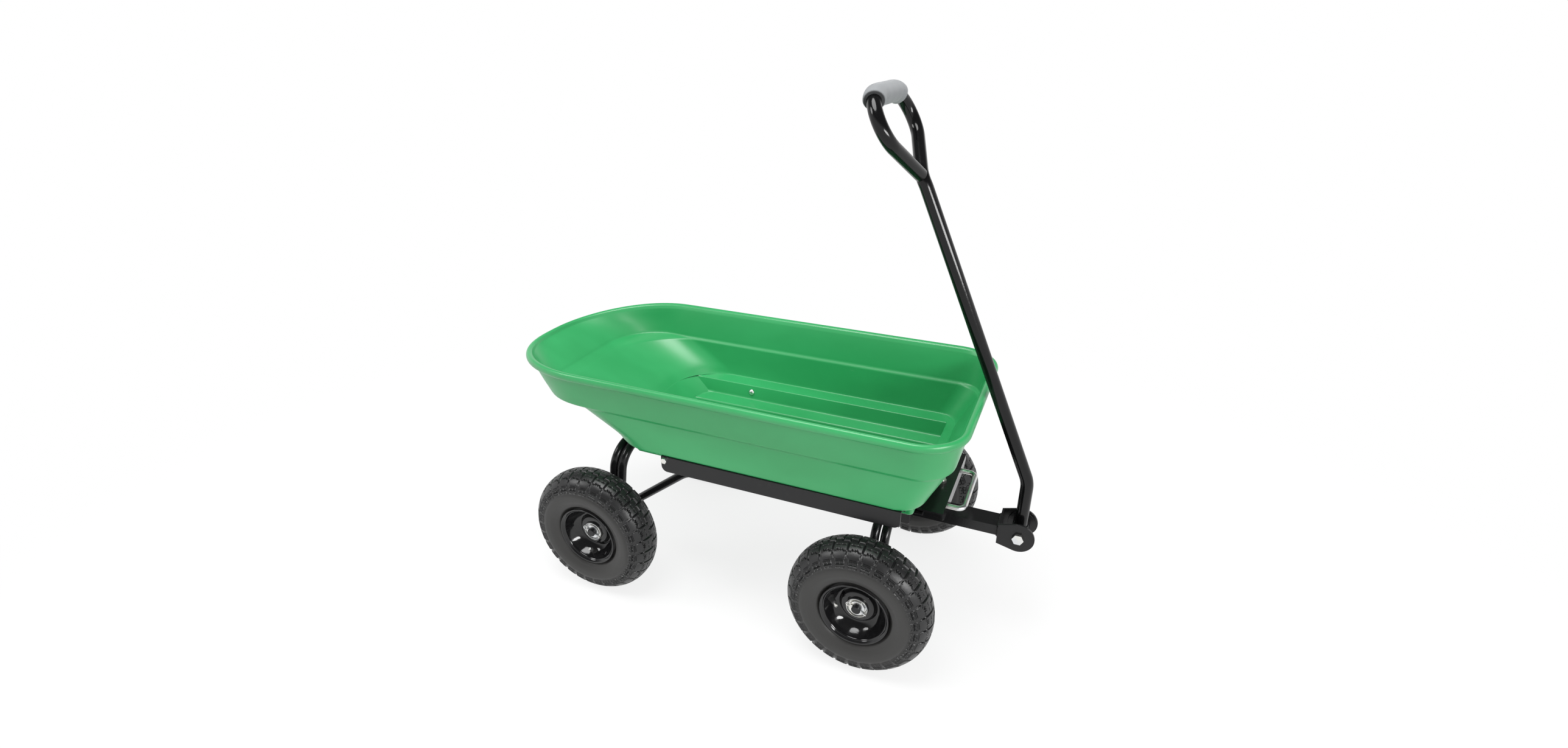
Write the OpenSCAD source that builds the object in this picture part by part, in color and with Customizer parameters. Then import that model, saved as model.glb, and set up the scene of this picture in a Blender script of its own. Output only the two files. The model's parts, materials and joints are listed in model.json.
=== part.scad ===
// Tipping dump cart: a moulded tub that tips over its rear axle, on four pneumatic wheels.
// Millimetres, +X towards the pull handle, +Z up, the ground at Z = 0.

/* [Wheels] */
// Outside radius of a tyre
tyre_r = 129; // [120:1:136]
// Width of a tyre across its sidewalls
tyre_w = 80; // [76:1:88]
// Rubber thickness of a tyre
tyre_wall = 7; // [5:0.5:9]
// Depth of the tread grooves
groove_depth = 3; // [1:0.5:4]
// Width of the tread grooves that run round the tyre
groove_w = 3; // [2:0.5:4]
// Radius of the rim's outer lip
rim_r = 61; // [59:0.5:63]
// Half the rim's width at its lips
rim_half = 33; // [31:0.5:35]
// Thickness of the rim's steel
rim_t = 2.5; // [1.5:0.1:3]
// Outside radius of the hub sleeve
hub_r = 19.5; // [18:0.5:22]
// Wall of the hub sleeve
hub_wall = 3; // [2:0.5:4]
// How far the hub stands out from the wheel's middle plane
hub_out = 10.5; // [8:0.5:14]
// How far the hub reaches inwards from the wheel's middle plane
hub_in = 40; // [36:0.5:42]
// Radius of the valve stem
valve_r = 3.5; // [3:0.1:4.5]
// Turn of the rear wheels' valves, in degrees
rear_valve = 92; // [0:1:359]
// Turn of the front wheels' valves, in degrees
front_valve = 190; // [0:1:359]

/* [Axles] */
// Distance between the two axles
wheelbase = 541; // [510:1:570]
// Distance between the middle planes of a left and a right tyre
track = 415; // [404:1:430]
// Diameter of an axle rod
axle_d = 16; // [14:0.5:18]
// Free end of an axle outside its hub
axle_end = 8.5; // [7:0.5:12]
// Width of an axle beam, along the cart
beam_x = 40; // [36:1:48]
// Height of an axle beam
beam_z = 28; // [24:1:34]
// Thickness of an axle beam's steel
beam_t = 3; // [2:0.5:4]
// Diameter of the cotter pins
cotter_d = 3.2; // [2.5:0.1:4]

/* [Chassis] */
// Diameter of the arch and brace tubes
tube_d = 17; // [15:0.5:19]
// Wall of the steel tubes
tube_wall = 1.8; // [1.2:0.1:2.5]
// Half the width of the rear arch, at its legs
rear_arch_half = 136; // [126:1:140]
// Depth of the rear arch's top tube, which is the tub's hinge, below the ledges
hinge_drop = 43; // [39:1:49]
// Lean of the rear arch towards the handle, in degrees
rear_arch_lean = 8; // [0:1:10]
// Half the width of the front arch, at its legs
front_arch_half = 100; // [90:1:120]
// Distance between the middles of the two tubes of an arch
arch_pitch = 19; // [18.5:0.5:21]
// Bend radius of the arch tubes
arch_bend = 45; // [35:1:50]
// Rise of the braces, in degrees
brace_rise = 38; // [34:1:42]
// Side offset of the braces at the rear beam
brace_half = 108; // [100:1:114]
// Side offset of the braces at the front bolster
brace_front_half = 32; // [30:1:40]
// Thickness of the bolster and the turntable plate
plate_t = 6; // [4:0.5:8]
// Diameter of the kingpin
kingpin_d = 16; // [12:1:18]

/* [Tongue and handle] */
// Width of the tongue
tongue_w = 40; // [34:1:44]
// Height of the tongue
tongue_h = 20; // [16:1:24]
// Distance from the front axle to the handle's pin
pin_reach = 231; // [226:1:256]
// Depth of the handle's pin below the ledges
pin_drop = 106; // [101:1:111]
// Outer radius of the clevis plates
clevis_r = 28; // [25:0.5:30]
// Distance from the pin back to the clevis web
clevis_back = 36; // [32:1:40]
// Half the gap between the clevis plates
clevis_gap = 24; // [22:0.5:26]
// Thickness of the clevis plates
clevis_t = 4; // [3:0.5:5]
// Diameter of the handle's bolt
pin_d = 12; // [10:0.5:14]
// Diameter of the handle tube
handle_d = 22; // [20:0.5:25]
// Wall of the handle tube
handle_wall = 2; // [1.5:0.1:3]
// Straight length of the handle below its first bend
handle_low = 88; // [80:1:110]
// Lean of the handle above its first bend, in degrees
handle_lean = 24; // [22:0.5:24.5]
// Straight length of the handle between its first bend and its loop
handle_mid = 522; // [470:1:540]
// Extra lean of the loop, in degrees
loop_lean = 5; // [0:1:8]
// Length of the loop's straight grip bar
loop_bar = 88; // [80:1:100]
// Bend radius of the loop's two corners
loop_bend = 45; // [42:1:50]
// Spread of the loop's arms from the handle's line, in degrees
loop_spread = 52; // [48:1:56]
// Diameter of the foam grip
grip_d = 34; // [30:1:38]
// How far the grip reaches round each corner, in degrees
grip_reach = 32; // [24:1:44]

/* [Tub] */
// Height of the rim's top edge above the ledges
rim_rise = 144; // [132:1:157]
// Half the width over the rim
rim_w2 = 209; // [200:1:220]
// How far the rim reaches ahead of the front axle
rim_over = 144; // [137:1:145]
// How far the rim reaches behind the rear axle
rim_rear = 214; // [205:1:225]
// Bow of the rim's rear edge
rim_bow = 20; // [5:1:24]
// Drop of the rim at its rear edge
rim_drop = 22; // [10:1:26]
// Height of the rolled bead
bead_h = 15; // [12:0.5:18]
// Width of the rolled bead
bead_w = 10; // [8:0.5:12]
// Wall of the tub
tub_wall = 5; // [4:0.5:6]
// Height of the shoulder step above the ledges
shoulder_rise = 67; // [57:1:75]
// Half the width at the shoulder
shoulder_w2 = 189; // [186:1:193]
// Depth of the shoulder step on the sides
shoulder_step = 5; // [3:0.5:7]
// Depth of the shoulder step at the rear
shoulder_rear_step = 50; // [40:1:60]
// Clearance between the tyres' tops and the rails' lower edges
tyre_clear = 23; // [18:1:28]
// Half the width over the ledges
ledge_w2 = 180; // [176:1:183]
// Depth of the trough below the ledges
trough_depth = 31; // [26:1:34]
// Half the width of the trough
trough_w2 = 142; // [136:1:144]
// Depth of the centre channel below the trough
channel_depth = 15; // [8:1:17]
// Half the width of the centre channel
channel_w2 = 104; // [96:1:108]
// How far the trough's front wall stands ahead of the front axle
trough_over = 65; // [57:1:69]

/* [Rails] */
// Length of a rail
rail_len = 450; // [420:1:455]
// Height of a rail
rail_h = 32; // [28:1:34]
// Thickness of a rail's steel
rail_t = 2.5; // [2:0.1:3.5]
// How far a rail stands out past the ledge
rail_lip = 2; // [1:0.5:3]
// Radius of a rail's lower corners
rail_corner = 12; // [6:1:16]

/* [Latch] */
// Half the width of the latch plate
latch_w2 = 106; // [90:1:108]
// Depth of the latch plate, along the cart
latch_x = 44; // [40:1:48]
// Drop of the latch plate below the ledges
latch_drop = 37; // [35:1:40]
// Height of the latch plate's front lip
latch_lip = 26; // [24:1:30]
// Thickness of the latch plate's steel
latch_t = 3; // [2:0.5:4]
// Diameter of the release loop's wire
wire_d = 9; // [7:0.5:10]
// Half the width of the release loop
wire_w2 = 62; // [50:1:70]
// How far the release loop stands out ahead of the lip
wire_out = 32; // [28:1:40]

/* [Clearances] */
// Radial clearance of a running fit
run = 0.05; // [0.02:0.01:0.1]
// Gap between pieces that move past each other
gap = 0.3; // [0.2:0.05:0.5]

/* [Hidden] */
$fn = 64;
green = [0.06, 0.45, 0.17];
black = [0.06, 0.06, 0.065];
rubber = [0.07, 0.07, 0.07];
zinc = [0.78, 0.79, 0.8];
grey = [0.55, 0.56, 0.57];
eps = 0.01;
long = 2000;
mark_h = 0.1;
mark_w = 1.2;

// The row's origin is on the ground, in the middle of the cart's length
pin_x = wheelbase + pin_reach;
x_mid = (pin_x + clevis_r - rim_rear - rim_bow) / 2;

// Wheel stations
half_track = track / 2;
axle_z = tyre_r;
ledge_z = 2 * tyre_r + tyre_clear + rail_h;
hinge_z = ledge_z - hinge_drop;
pin_z = ledge_z - pin_drop;
beam_half = half_track - hub_in - 13;
beam_top = axle_z + beam_z / 2;
hub_bore = hub_r - hub_wall;
bearing_lip = 2;
washer_t = 2;
axle_half = half_track + hub_out + bearing_lip + axle_end;

// Front stack, from the arch's top tube up to the braces
tongue_top = pin_z + tongue_h / 2 + 1;
front_arch_z = tongue_top - tube_d / 2;
table_top = tongue_top + plate_t;
bolster_bottom = table_top + gap;
bolster_top = bolster_bottom + plate_t;
brace_z = bolster_top + tube_d / 2;

// Rear hinge
lean_shift = (hinge_z - beam_top) * tan(rear_arch_lean);
hinge_x = lean_shift - arch_pitch / 2;

// Tub levels and ends
rim_z = ledge_z + rim_rise;
shoulder_z = ledge_z + shoulder_rise;
rim_front = wheelbase + rim_over;
trough_front = wheelbase + trough_over;
trough_z = ledge_z - trough_depth;
channel_z = trough_z - channel_depth;
rear_slope = 1.22;
ledge_rear = 8;
ledge_front = trough_front + 16;
shoulder_front = rim_front - 18;
shoulder_low = shoulder_z - 6;
slope_rear = ledge_rear - (shoulder_low - ledge_z) * rear_slope;
rail_y = ledge_w2 + rail_lip;
rail_x0 = trough_front - 11 - rail_len;
latch_z = ledge_z - latch_drop;
wire_z = latch_z - latch_t - wire_d / 2 - 4;
lip_x = trough_front + latch_x;

module place() { translate([-x_mid, 0, 0]) children(); }
module flip_y(on) { mirror([0, on ? 1 : 0, 0]) children(); }
module along_y() { rotate([-90, 0, 0]) children(); }
module along_x() { rotate([0, 90, 0]) children(); }

// A tube's section: a solid round where the wall is zero
module section(d, wall, over = 0) {
  difference() {
    circle(d = d + 2 * over);
    if (wall > 0) circle(d = d - 2 * wall - 2 * over);
  }
}
// One straight run and one bend of a tube, from the origin along +Z: [length, radius, angle, roll]
module tube_step(d, wall, s) {
  if (s[0] > 0) linear_extrude(s[0]) section(d, wall);
  if (s[2] > 0)
    translate([0, 0, s[0]]) rotate([0, 0, s[3]]) translate([s[1], 0, 0]) rotate([90, 0, 0])
      rotate([0, 0, 180 - s[2]]) rotate_extrude(angle = s[2]) translate([s[1], 0]) rotate(180) section(d, wall);
}
// A die mark round the tube at both ends of a part bend; a quarter bend has none
function marked(s) = s[2] > 0 && s[2] != 90;
module die_mark(d, wall) { translate([0, 0, -mark_w / 2]) linear_extrude(mark_w) section(d, wall, mark_h); }
// The frame at the end of a step
module step_end(s) {
  translate([0, 0, s[0]]) rotate([0, 0, s[3]])
    translate([s[1] * (1 - cos(s[2])), 0, s[1] * sin(s[2])]) rotate([0, s[2], 0]) children();
}
// The frame at the start of step k
module travel(steps, k, i = 0) {
  if (i == k) children();
  else step_end(steps[i]) travel(steps, k, i + 1) children();
}
// A tube along a list of steps, open at both ends, or a bar where the wall is zero
module bent_tube(d, wall, steps, i = 0) {
  if (i < len(steps)) {
    tube_step(d, wall, steps[i]);
    if (steps[i][0] > 0 && marked(steps[i])) translate([0, 0, steps[i][0]]) die_mark(d, wall);
    step_end(steps[i]) {
      if (i < len(steps) - 1 && marked(steps[i])) die_mark(d, wall);
      bent_tube(d, wall, steps, i + 1);
    }
  }
}
module hex_head(across, h) { cylinder(d = across / cos(30), h = h, $fn = 6); }
module ring(r1, r0, h) {
  difference() {
    cylinder(r = r1, h = h);
    translate([0, 0, -1]) cylinder(r = r0, h = h + 2);
  }
}

// Axles and chassis
module axle_rod(x) {
  translate([x, -axle_half, axle_z]) along_y() cylinder(d = axle_d, h = 2 * axle_half);
}
module axle_beam(x) {
  difference() {
    translate([x - beam_x / 2, -beam_half, axle_z - beam_z / 2]) cube([beam_x, 2 * beam_half, beam_z]);
    translate([x - beam_x / 2 + beam_t, -beam_half + beam_t, axle_z - beam_z / 2 + beam_t])
      cube([beam_x - 2 * beam_t, 2 * (beam_half - beam_t), beam_z - 2 * beam_t]);
    translate([x, -beam_half - 1, axle_z]) along_y() cylinder(d = axle_d + 2 * run, h = 2 * beam_half + 2);
  }
}
// Spacers inside the hubs and washers outside them
module axle_washers(x) {
  for (side = [0, 1])
    flip_y(side) {
      translate([x, beam_half, axle_z]) along_y()
        ring(axle_d / 2 + 4, axle_d / 2 + run, half_track - hub_in - bearing_lip - gap - beam_half);
      translate([x, half_track + hub_out + bearing_lip + gap, axle_z]) along_y()
        ring(axle_d / 2 + 6, axle_d / 2 + run, washer_t);
    }
}
// A split pin through each axle end, with an eye on one side
module axle_cotters(x) {
  cotter_y = half_track + hub_out + bearing_lip + gap + washer_t + cotter_d / 2 + gap;
  eye_r = cotter_d * 1.2;
  for (side = [0, 1])
    flip_y(side) translate([x, cotter_y, axle_z]) rotate([0, 115, 0]) {
      translate([0, 0, -axle_d / 2 - 5]) cylinder(d = cotter_d, h = axle_d + 16);
      translate([0, 0, -axle_d / 2 - 4 - eye_r]) rotate([90, 0, 0])
        rotate_extrude() translate([eye_r, 0]) circle(d = cotter_d * 0.6);
    }
}
module axle_with_pin_holes(x) {
  cotter_y = half_track + hub_out + bearing_lip + gap + washer_t + cotter_d / 2 + gap;
  difference() {
    axle_rod(x);
    for (side = [0, 1])
      flip_y(side) translate([x, cotter_y, axle_z]) rotate([0, 115, 0])
        cylinder(d = cotter_d + 2 * run, h = axle_d * 2, center = true);
  }
}
// A bent tube over the axle, from the beam's top up one side, across and down the other
module arch(x, half, top, lean, off) {
  rise = (top - beam_top) / cos(lean);
  bend = min(arch_bend, rise - 5);
  foot = 3;
  difference() {
    translate([x + off, -half, beam_top]) rotate([0, lean, 0]) translate([0, 0, -foot])
      bent_tube(tube_d, tube_wall, [
        [rise - bend + foot, bend, 90, 90],
        [2 * (half - bend), bend, 90, 0],
        [rise - bend + foot, 0, 0, 0]
      ]);
    translate([x - beam_x, -half - tube_d, beam_top - beam_z]) cube([2 * beam_x, 2 * (half + tube_d), beam_z]);
  }
}
// A brace from the rear beam, rising forwards and then running level and inwards to the bolster
module brace(side) {
  bend = 60;
  x0 = beam_x / 2;
  z0 = axle_z + 4;
  run_x = (brace_z - z0) / tan(brace_rise);
  inward = atan((brace_half - brace_front_half) / (wheelbase + 25 - x0 - run_x));
  corner = bend * tan(brace_rise / 2);
  slope_len = (brace_z - z0) / sin(brace_rise) - corner;
  level_len = (wheelbase + 25 - x0 - run_x) / cos(inward) - corner;
  flip_y(side) difference() {
    translate([x0, brace_half, z0]) rotate([0, 90 - brace_rise, 0]) translate([0, 0, -20])
      bent_tube(tube_d, tube_wall, [
        [slope_len + 20, bend, brace_rise, 0],
        [10, bend, inward, 90 * -1],
        [level_len - 10 - 2 * bend * tan(inward / 2), 0, 0, 0]
      ]);
    translate([x0 - 60, brace_half - 30, z0 - 60]) cube([60, 60, 120]);
  }
}
bolster_l = 125;
bolster_w = 100;
bolster_back = 60;
module bolster() {
  color(black) place() difference() {
    translate([wheelbase - bolster_back, -bolster_w / 2, bolster_bottom]) cube([bolster_l, bolster_w, plate_t]);
    translate([wheelbase, 0, bolster_bottom - 1]) cylinder(d = kingpin_d + 2 * run, h = plate_t + 2);
  }
}
// A folded saddle that the tub's channel comes down on
module front_rest() {
  saddle_t = 3;
  saddle_x = wheelbase + 34;
  saddle_y = 44;
  saddle_l = 28;
  saddle_top = channel_z - gap;
  color(black) place() difference() {
    translate([saddle_x, -saddle_y, bolster_top]) cube([saddle_l, 2 * saddle_y, saddle_top - bolster_top]);
    translate([saddle_x - 1, -saddle_y + saddle_t, bolster_top - 1])
      cube([saddle_l + 2, 2 * (saddle_y - saddle_t), saddle_top - bolster_top - saddle_t + 1]);
  }
}

module rear_axle() { color(black) place() axle_with_pin_holes(0); }
module front_axle() { color(black) place() axle_with_pin_holes(wheelbase); }
module rear_beam() { color(black) place() axle_beam(0); }
module front_beam() { color(black) place() axle_beam(wheelbase); }
module rear_washers() { color(zinc) place() axle_washers(0); }
module front_washers() { color(zinc) place() axle_washers(wheelbase); }
module rear_cotters() { color(zinc) place() axle_cotters(0); }
module front_cotters() { color(zinc) place() axle_cotters(wheelbase); }
module rear_arch_front() { color(black) place() arch(0, rear_arch_half, hinge_z, rear_arch_lean, arch_pitch / 2); }
module rear_arch_back() { color(black) place() arch(0, rear_arch_half, hinge_z, rear_arch_lean, -arch_pitch / 2); }
module front_arch_front() { color(black) place() arch(wheelbase, front_arch_half, front_arch_z, 0, arch_pitch / 2); }
module front_arch_back() { color(black) place() arch(wheelbase, front_arch_half, front_arch_z, 0, -arch_pitch / 2); }
module brace_left() { color(black) place() brace(0); }
module brace_right() { color(black) place() brace(1); }

// Steering
table_l = 80;
table_w = 90;
table_back = 35;
module turntable() {
  color(black) place() difference() {
    translate([wheelbase - table_back, -table_w / 2, tongue_top]) cube([table_l, table_w, plate_t]);
    translate([wheelbase, 0, tongue_top - 1]) cylinder(d = kingpin_d + 2 * run, h = plate_t + 2);
  }
}
module kingpin() {
  nut_h = 10;
  color(zinc) place() translate([wheelbase, 0, 0]) {
    translate([0, 0, tongue_top + eps]) cylinder(d = kingpin_d, h = bolster_top + nut_h + 4 - tongue_top);
    translate([0, 0, bolster_top + gap]) hex_head(kingpin_d * 1.5, nut_h);
  }
}
module tongue() {
  wall = 2;
  x0 = wheelbase + arch_pitch / 2;
  x1 = pin_x - clevis_back;
  color(black) place() difference() {
    translate([x0, -tongue_w / 2, tongue_top - tongue_h]) cube([x1 - x0, tongue_w, tongue_h]);
    translate([x0 - 1, -tongue_w / 2 + wall, tongue_top - tongue_h + wall])
      cube([x1 - x0 + 2, tongue_w - 2 * wall, tongue_h - 2 * wall]);
    translate([x0, -tongue_w, front_arch_z]) along_y() cylinder(d = tube_d + 2 * run, h = 2 * tongue_w);
  }
}

// The clevis: two plates with round noses on one folded web
function tangent(p, c, r, s) = let (
    d = norm(p - c),
    a = atan2(p[1] - c[1], p[0] - c[0]) + s * acos(r / d)
  ) c + r * [cos(a), sin(a)];
module clevis_plate() {
  back = -clevis_back;
  low = [back, -20];
  high = [back, 19];
  circle(r = clevis_r);
  polygon([low, tangent(low, [0, 0], clevis_r, 1), [0, 0], tangent(high, [0, 0], clevis_r, -1), high]);
}
module clevis() {
  web_h = 39;
  color(black) place() translate([pin_x, 0, pin_z]) {
    for (side = [0, 1])
      flip_y(side) difference() {
        translate([0, clevis_gap + clevis_t, 0]) rotate([90, 0, 0]) linear_extrude(clevis_t) clevis_plate();
        translate([0, clevis_gap - 1, 0]) along_y() cylinder(d = pin_d + 2 * run, h = clevis_t + 2);
      }
    translate([-clevis_back, -clevis_gap - eps, -20]) cube([clevis_t, 2 * (clevis_gap + eps), web_h]);
  }
}
module clevis_bolt() {
  head_h = 6;
  outside = clevis_gap + clevis_t;
  color(zinc) place() translate([pin_x, 0, pin_z]) {
    translate([0, -outside - eps, 0]) along_y() cylinder(d = pin_d, h = 2 * outside + 12);
    translate([0, -outside, 0]) rotate([90, 0, 0]) hex_head(pin_d * 1.5, head_h);
    translate([0, outside, 0]) along_y() hex_head(pin_d * 1.5, head_h + 2);
  }
}

// Handle: a bending table from the pin upwards, [length, radius, angle, roll]
handle_bend = 60;
apex_bend = 28;
loop_arm = (loop_bar / 2 + loop_bend * cos(loop_spread) - apex_bend * (1 - cos(loop_spread))) / sin(loop_spread);
loop_joint = handle_d * 0.2;
// The loop's corners are bent in two goes, the last of them by the given angle
function handle_steps(last) = [
  [handle_low, handle_bend, handle_lean, 180],
  [handle_mid, handle_bend, loop_lean, 0],
  [0, apex_bend, loop_spread, -90],
  [loop_arm, loop_bend, 90 + loop_spread - last, 180],
  [0, loop_bend, last, 0],
  [loop_bar, loop_bend, last, 0],
  [0, loop_bend, 90 + loop_spread - last, 0],
  [loop_arm + apex_bend * tan(loop_spread / 2) - loop_joint, 0, 0, 0]
];
corner_bend = 58;
bush_r = 15;
bush_half = clevis_gap - gap - 2;
module handle_tube() {
  color(black) place() translate([pin_x, 0, pin_z]) difference() {
    bent_tube(handle_d, handle_wall, handle_steps(corner_bend));
    translate([0, -bush_half - 1, 0]) along_y() cylinder(r = bush_r + run, h = 2 * bush_half + 2);
  }
}
module handle_bush() {
  color(black) place() translate([pin_x, -bush_half, pin_z]) along_y() ring(bush_r, pin_d / 2 + run, 2 * bush_half);
}
module handle_washers() {
  color(black) place() for (side = [0, 1])
    translate([pin_x, 0, pin_z]) flip_y(side) translate([0, bush_half, 0]) along_y()
      ring(bush_r + 9, pin_d / 2 + run, 2);
}
module grip() {
  steps = handle_steps(grip_reach);
  color(grey) place() translate([pin_x, 0, pin_z]) travel(steps, 4)
    bent_tube(grip_d, (grip_d - handle_d) / 2 - run - 2 * mark_h, [steps[4], steps[5]]);
}

// Tub outlines: rounded rectangles stacked from the channel's underside up to the rim and down inside
arc_n = 8;
side_cuts = [0.3, 0.55, 0.75, 0.9];
end_cuts = [0.25, 0.5, 0.75];
function arc(c, r, a0) = [for (i = [0 : arc_n]) c + r * [cos(a0 + 90 * i / arc_n), sin(a0 + 90 * i / arc_n)]];
function cuts(p, q, list) = [for (f = list) p + (q - p) * f];
function back_to_front(list) = [for (i = [len(list) - 1 : -1 : 0]) 1 - list[i]];
// row: [height, rear x, front x, half width, rear corner radius, front corner radius, share of the rim's drop]
function outline(row) = let (
    xr = row[1], xf = row[2], w = row[3], rr = row[4], rf = row[5],
    fl = [xf - rf, w - rf], rl = [xr + rr, w - rr], rb = [xr + rr, rr - w], fr = [xf - rf, rf - w]
  ) concat(
    arc(fl, rf, 0), cuts([xf - rf, w], [xr + rr, w], side_cuts),
    arc(rl, rr, 90), cuts([xr, w - rr], [xr, rr - w], end_cuts),
    arc(rb, rr, 180), cuts([xr + rr, -w], [xf - rf, -w], back_to_front(side_cuts)),
    arc(fr, rf, 270), cuts([xf, rf - w], [xf, w - rf], end_cuts)
  );
function drop(x) = x < 0 ? rim_drop * pow(x / (rim_rear + rim_bow), 2) : 0;
function bowed(p, row) = p[0] < row[1] + row[4] ? p[0] - row[6] * rim_bow * (1 - pow(p[1] / row[3], 2)) : p[0];
function level(row) = [for (p = outline(row)) let (x = bowed(p, row)) [x, p[1], row[0] - row[6] * drop(x)]];
function inside(row, t) = [row[0] + t, row[1] + t, row[2] - t, row[3] - t, max(row[4] - t, 6), max(row[5] - t, 6), row[6]];

trough_rear = ledge_rear + trough_depth * rear_slope;
channel_rear = trough_rear + channel_depth * rear_slope;
channel_front = trough_front - 4;
wall_rear = rim_rear - bead_w;
wall_front = rim_front - bead_w;
wall_w2 = rim_w2 - bead_w;
bead_low = rim_z - bead_h;
tub_rows = [
  [channel_z, channel_rear + 4, channel_front - 1, channel_w2 - 4, 30, 24, 0],
  [trough_z - 2, channel_rear - 14, channel_front, channel_w2, 34, 28, 0],
  [trough_z, channel_rear - 16, channel_front + 1, channel_w2 + 2, 34, 30, 0],
  [trough_z, trough_rear + 2, trough_front - 1.5, trough_w2 - 3, 44, 32, 0],
  [trough_z + 3, trough_rear - 2, trough_front - 0.5, trough_w2 - 1, 45, 34, 0],
  [ledge_z, ledge_rear + 10, trough_front, trough_w2 + 3, 56, 38, 0],
  [ledge_z, ledge_rear + 6, ledge_front, ledge_w2 - 3, 62, 44, 0],
  [ledge_z + 3, ledge_rear, ledge_front + 3, ledge_w2, 62, 46, 0],
  [shoulder_low, slope_rear, shoulder_front - 8, shoulder_w2 - shoulder_step, 70, 54, 0],
  [shoulder_z - 1, slope_rear - shoulder_rear_step, shoulder_front - 1.5, shoulder_w2 - 0.8, 88, 58, 0],
  [shoulder_z + 4, slope_rear - shoulder_rear_step - 7, shoulder_front, shoulder_w2, 92, 60, 0.05],
  [(shoulder_z + bead_low) / 2, -(wall_rear + shoulder_rear_step) * 0.68, (shoulder_front + wall_front) / 2,
    (shoulder_w2 + wall_w2) / 2, 105, 66, 0.5],
  [bead_low + 1, -wall_rear, wall_front, wall_w2, 118, 70, 1]
];
// The bead as a half round, out from the wall's outside, over the top and back to its inside
bead_turn = [for (i = [0 : 8]) -80 + 28 * i];
bead_rows = [for (a = bead_turn) let (
    o = bead_w * 0.5 * (1 + cos(a)) - (a > 90 ? tub_wall * (a - 90) / 90 : 0),
    z = bead_low + bead_h / 2 * (1 + sin(a))
  ) [z, -wall_rear - o, wall_front + o, wall_w2 + o, 118 + o, 70 + o, 1]];
inner_rows = [for (i = [len(tub_rows) - 1 : -1 : 0]) inside(tub_rows[i], tub_wall)];
module tub_shell() {
  rows = concat(tub_rows, bead_rows, inner_rows);
  rings = [for (row = rows) level(row)];
  n = len(rings[0]);
  m = len(rings);
  mid_x = (channel_rear + channel_front) / 2;
  points = concat([for (r = rings) for (p = r) p], [[mid_x, 0, channel_z], [mid_x, 0, channel_z + tub_wall]]);
  walls = [for (j = [0 : m - 2]) for (i = [0 : n - 1]) let (
      a = j * n + i, b = j * n + (i + 1) % n, c = a + n, d = b + n
    ) each [[a, c, b], [b, c, d]]];
  bottom = [for (i = [0 : n - 1]) [m * n, i, (i + 1) % n]];
  floor_top = [for (i = [0 : n - 1]) [m * n + 1, (m - 1) * n + (i + 1) % n, (m - 1) * n + i]];
  polyhedron(points, concat(bottom, walls, floor_top));
}
module tub() { color(green) place() tub_shell(); }

// A folded rail: outer flange, top flange under the ledge and an inner flange beside the trough
module rail(side) {
  y1 = rail_y;
  y0 = trough_w2 + 5;
  inner_h = rail_h * 0.6;
  color(black) place() flip_y(side) intersection() {
    translate([rail_x0, 0, 0]) rotate([90, 0, 90]) linear_extrude(rail_len) polygon([
      [y1, ledge_z - rail_h], [y1, ledge_z], [y0, ledge_z], [y0, ledge_z - inner_h],
      [y0 + rail_t, ledge_z - inner_h], [y0 + rail_t, ledge_z - rail_t],
      [y1 - rail_t, ledge_z - rail_t], [y1 - rail_t, ledge_z - rail_h]
    ]);
    translate([rail_x0, long / 2, ledge_z]) rotate([90, 0, 0]) linear_extrude(long) rail_side();
  }
}
// A rail's side outline, with its two lower corners rounded
module rail_side() {
  c = rail_corner;
  translate([0, -rail_h + c]) square([rail_len, rail_h - c]);
  translate([c, -rail_h]) square([rail_len - 2 * c, rail_h]);
  for (x = [c, rail_len - c])
    translate([x, -rail_h + c]) circle(r = c);
}
module rail_left() { rail(0); }
module rail_right() { rail(1); }
// Hex bolts at the rail ends and round heads inside the trough
module rail_bolts() {
  head_r = 6.5;
  inner_x = rail_x0 + 32;
  inner_z = ledge_z - 10;
  wall_run = ledge_z - trough_z - 3;
  wall_y = trough_w2 - 1 - tub_wall + 4 * (inner_z - trough_z - 3 - tub_wall) / wall_run - gap;
  color(zinc) place() for (side = [0, 1])
    flip_y(side) {
      for (x = [rail_x0 + 8, rail_x0 + rail_len - 8])
        translate([x, rail_y, ledge_z - 7]) along_y() hex_head(10, 5);
      translate([inner_x, wall_y, inner_z]) rotate([90 - atan(4 / wall_run), 0, 0]) intersection() {
        translate([0, 0, -head_r * 0.5]) sphere(r = head_r * 1.1);
        cylinder(r = head_r, h = head_r);
      }
    }
}
// A hooked strap round the rear arch's back tube, with a flange on the tub's rear slope
module hinge(side) {
  strap_t = 4;
  strap_w = 30;
  strap_y = 45;
  flange = 44;
  open_from = -96;
  open_to = 26;
  tilt = atan((shoulder_low - ledge_z - 3) / (ledge_rear - slope_rear));
  r0 = tube_d / 2 + run;
  foot = [ledge_rear, ledge_z + 3] - [hinge_x, hinge_z];
  reach = foot * [sin(tilt), cos(tilt)] - gap;
  mouth = r0 * 3;
  color(black) place() flip_y(side) translate([hinge_x, strap_y + strap_w, hinge_z]) rotate([90, 0, 0])
    linear_extrude(strap_w) difference() {
      union() {
        difference() {
          circle(r = r0 + strap_t);
          polygon([[0, 0], for (a = [open_from, (open_from + open_to) / 2, open_to]) mouth * [cos(a), sin(a)]]);
        }
        rotate(90 - tilt) {
          translate([0, -strap_t / 2]) square([reach, strap_t]);
          translate([reach - strap_t, -strap_t / 2]) square([strap_t, flange]);
        }
      }
      circle(r = r0);
    }
}
module hinge_left() { hinge(0); }
module hinge_right() { hinge(1); }

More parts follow.
